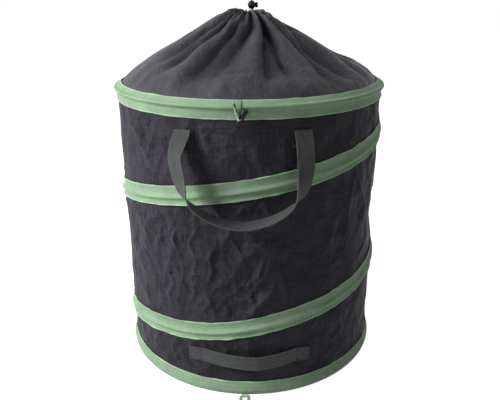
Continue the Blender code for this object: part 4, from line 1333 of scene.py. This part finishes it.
def toggles():
    """The bars, each across its own flat tape."""
    half, waist = 0.016, 0.0045
    upper = [(0, half), (0.0024, half), (0.0036, half - 0.0003), (0.0043, half - 0.0009)]
    upper += [(BAR, half - 0.0018), (BAR, 0.0058), (0.0047, 0.0048), (0.0046, 0.0040)]
    upper += [(waist, 0.0034), (waist, 0.0012)]
    profile = upper + [(r, -z) for r, z in upper[::-1]]
    centre = Vector((0, TAPE_OUTER + 0.0006 + BAR, TOP - 0.015))
    for side, turn in SIDES:
        middle = turn @ Matrix.Translation(centre)
        place = middle @ Matrix.Rotation(-math.radians(28), 4, "Y")
        bar = lathed(side + "_toggle", profile, 40, place, PLASTIC, side + "_toggle")
        drilled(bar, [middle @ Matrix.Rotation(math.pi / 2, 4, "X")], 0.04)
        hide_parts(side + "_toggle_bar")
        toggle_cord(side, turn, centre)


def narrow_tape(name, sections, turn, body, closed=False):
    """A tape without the paler selvage and painted edge highlight, from sections in a frame that
    faces +Y.
    """
    sections = [[turn @ point for point in section] for section in sections]
    cloth = np.full((len(sections), len(sections[0]), 3), FAR_FROM_EDGE)
    return swept(name, sections, TAPE_CLOTH, body, closed=closed, cloth=cloth)


# Stations of the toggle's tape: base, offset from it, direction across the tape, width
TOGGLE_ROUTE = (
    ("edge", 0.0052, 0, 0, (1, 0, 0), 0.0094),
    ("foot", 0.0050, 0, 0, (1, 0, 0), 0.0090),
    ("shoulder", 0.0046, 0.0003, 0, (1, 0, 0), 0.0080),
    ("ridge", 0.0040, 0, 0, (1, 0.1, 0), 0.0068),
    ("bar", 0.0036, -0.82 * BAR, 1.3 * BAR, (1, 0.3, 0.2), 0.0050),
    ("bar", 0.0022, -1.40 * BAR, 0.45 * BAR, (0.6, 0, 0.8), 0.0034),
    ("bar", 0, -1.25 * BAR, 0, (0, 0, 1), 0.0023),
    ("bar", 0, -0.5 * BAR, 0, (0, 0, 1), 0.0023),
    ("bar", 0, 0.5 * BAR, 0, (0, 0, 1), 0.0023),
    ("bar", 0.0006, 1.30 * BAR, -0.2 * BAR, (-0.5, 0.3, 1), 0.0034),
    ("bar", 0.0030, 1.55 * BAR, -0.3 * BAR, (-0.8, 0.5, 0.3), 0.0044),
    ("bar", 0.0056, 1.15 * BAR, 0.6 * BAR, (-0.6, 0.8, 0), 0.0044),
    ("bar", 0.0082, 0.70 * BAR, 1.7 * BAR, (-0.4, 1, 0), 0.0038),
    ("ridge", 0.0104, 0.0014, -0.0006, (-0.3, 1, 0), 0.0036),
    ("shoulder", 0.0122, 0.0008, 0, (0.5, 0.8, -0.5), 0.0034),
    ("foot", 0.0122, 0, 0, (1, 0.2, -0.2), 0.0034),
    ("edge", 0.0118, 0, 0, (1, 0, 0), 0.0036),
)


def toggle_cord(side, turn, centre):
    """A flat tape: from under the closure's edge it goes flat down the binding tape and behind
    the bar, comes out through the bar's hole and goes back up edge on."""
    lean = Vector((0, -math.sin(LEAN), math.cos(LEAN)))
    facing = Vector((0, math.cos(LEAN), math.sin(LEAN)))
    foot = Vector((0, HOOP_RADIUS - 0.0013, TOP + 0.0023)) + facing * 0.0022
    bases = {
        "edge": foot + lean * (TOP_TAPE_RISE - 0.0013),
        "foot": foot,
        "shoulder": Vector((0, HOOP_RADIUS + 0.0012, TOP + 0.0056)),
        "ridge": Vector((0, TAPE_OUTER + 0.0011, TOP)),
        "bar": centre,
    }
    rows = []
    for base, x, y, z, across, width in TOGGLE_ROUTE:
        rows.append((*(bases[base] + Vector((x, y, z))), *across, width))
    looped = catmull(rows, 6)
    places = [Vector(row[:3]) for row in looped]
    sections = []
    for i, place in enumerate(places):
        across, width = Vector(looped[i][3:6]), looped[i][6]
        along = run_at(places, i)
        across = (across - along * across.dot(along)).normalized()
        sections.append(strap_section(place, across, across.cross(along), width, 0.0010)[0])
    loop = narrow_tape(side + "_toggle_tape", sections, turn, side + "_toggle_cord")
    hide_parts(side + "_toggle_loop")


def folding_loops():
    """A flat tape through the tab at the bag's foot, from one corner round to the last."""
    corners = (
        (0.0046, 0.0024, 270), (0.0046, 0.0130, 0), (-0.0046, 0.0130, 90), (-0.0046, 0.0024, 180),
    )
    pin = Vector((0, TAPE_OUTER + 0.0004 + 0.0028, 0.0032))
    sections = []
    for x, y, start in corners:
        for k in range(9):
            a = math.radians(start + 90 * k / 8)
            away = Vector((math.cos(a), math.sin(a), 0))
            wide = 0.0028 + 0.0034 * smoothstep(-0.95, 0.1, np.float64(away.y))
            place = pin + Vector((x, y, 0)) + away * 0.0024
            sections.append(strap_section(place, away, UP, wide, 0.0016)[0])
    for side, turn in SIDES:
        loop = narrow_tape(side + "_fold_tape", sections, turn, side + "_fold_loop", closed=True)
        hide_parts(side + "_folding_loop")


def dress(names, material):
    """Puts a material on CAD nodes whose shape stays."""
    for name in names:
        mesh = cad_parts[name].data
        mesh.materials.clear()
        mesh.materials.append(material)


make_camera()
drawcord()
side_wall()
bottom_panel()
hoop_tapes()
spiral_tape()
spiral_spring()
closure()
carry_handle("front", FRONT, fold=0.4915)
carry_handle("rear", REAR, fold=0.4855)
tipping_handle()
cord_lock()
toggles()
folding_loops()
dress(["front_loop_tab", "rear_loop_tab"], TAPE_CLOTH)
dress([f"{hoop}_hoop_{part}" for hoop in ("top", "bottom") for part in ("wire", "ferrule")], STEEL)
dress(["cord_lock_spring"], STEEL)

# Studio

LAMP_AIM = Vector((0, 0, 0.33))


def studio():
    """A white floor that keeps the object's soft shadow, white surroundings and soft lamps."""
    m = Surface("white floor", (0.50, 0.50, 0.50), 0.8)
    pale = m.add("BsdfDiffuse", (0.85, 0.85, 0.85, 1)).outputs[0]
    glow = m.add("Emission", Strength=0.89).outputs[0]
    seen = m.add("AddShader", pale, glow).outputs[0]
    m.put(m.tree.nodes["Material Output"].inputs[0], m.white_where_seen(m.shader.outputs[0], seen))
    bpy.ops.mesh.primitive_plane_add(size=40, location=(0, 0, 0))
    floor = bpy.context.object
    floor.name = "floor"
    floor.data.materials.append(m.material)
    world = bpy.data.worlds.new("studio")
    bpy.context.scene.world = world
    world.use_nodes = True
    world.node_tree.nodes.clear()
    w = Nodes(world.node_tree)
    lit, white = (w.add("Background", (1, 1, 1, 1), light).outputs[0] for light in (0.15, 1.0))
    w.add("OutputWorld", w.white_where_seen(lit, white))
    lamp("key", (-2.25, -0.85, 1.70), size=1.1, power=90)
    lamp("fill", (1.2, -2.0, 1.1), size=1.4, power=2.6)
    lamp("top", (-0.7, -0.1, 2.1), size=0.8, power=5)


def lamp(name, place, size, power):
    data = bpy.data.lights.new(name, "AREA")
    data.size = size
    data.energy = power
    obj = added(name, data)
    obj.location = place
    aim = LAMP_AIM - Vector(place)
    obj.rotation_euler = aim.to_track_quat("-Z", "Y").to_euler()


studio()
bpy.context.scene.view_settings.view_transform = "Standard"
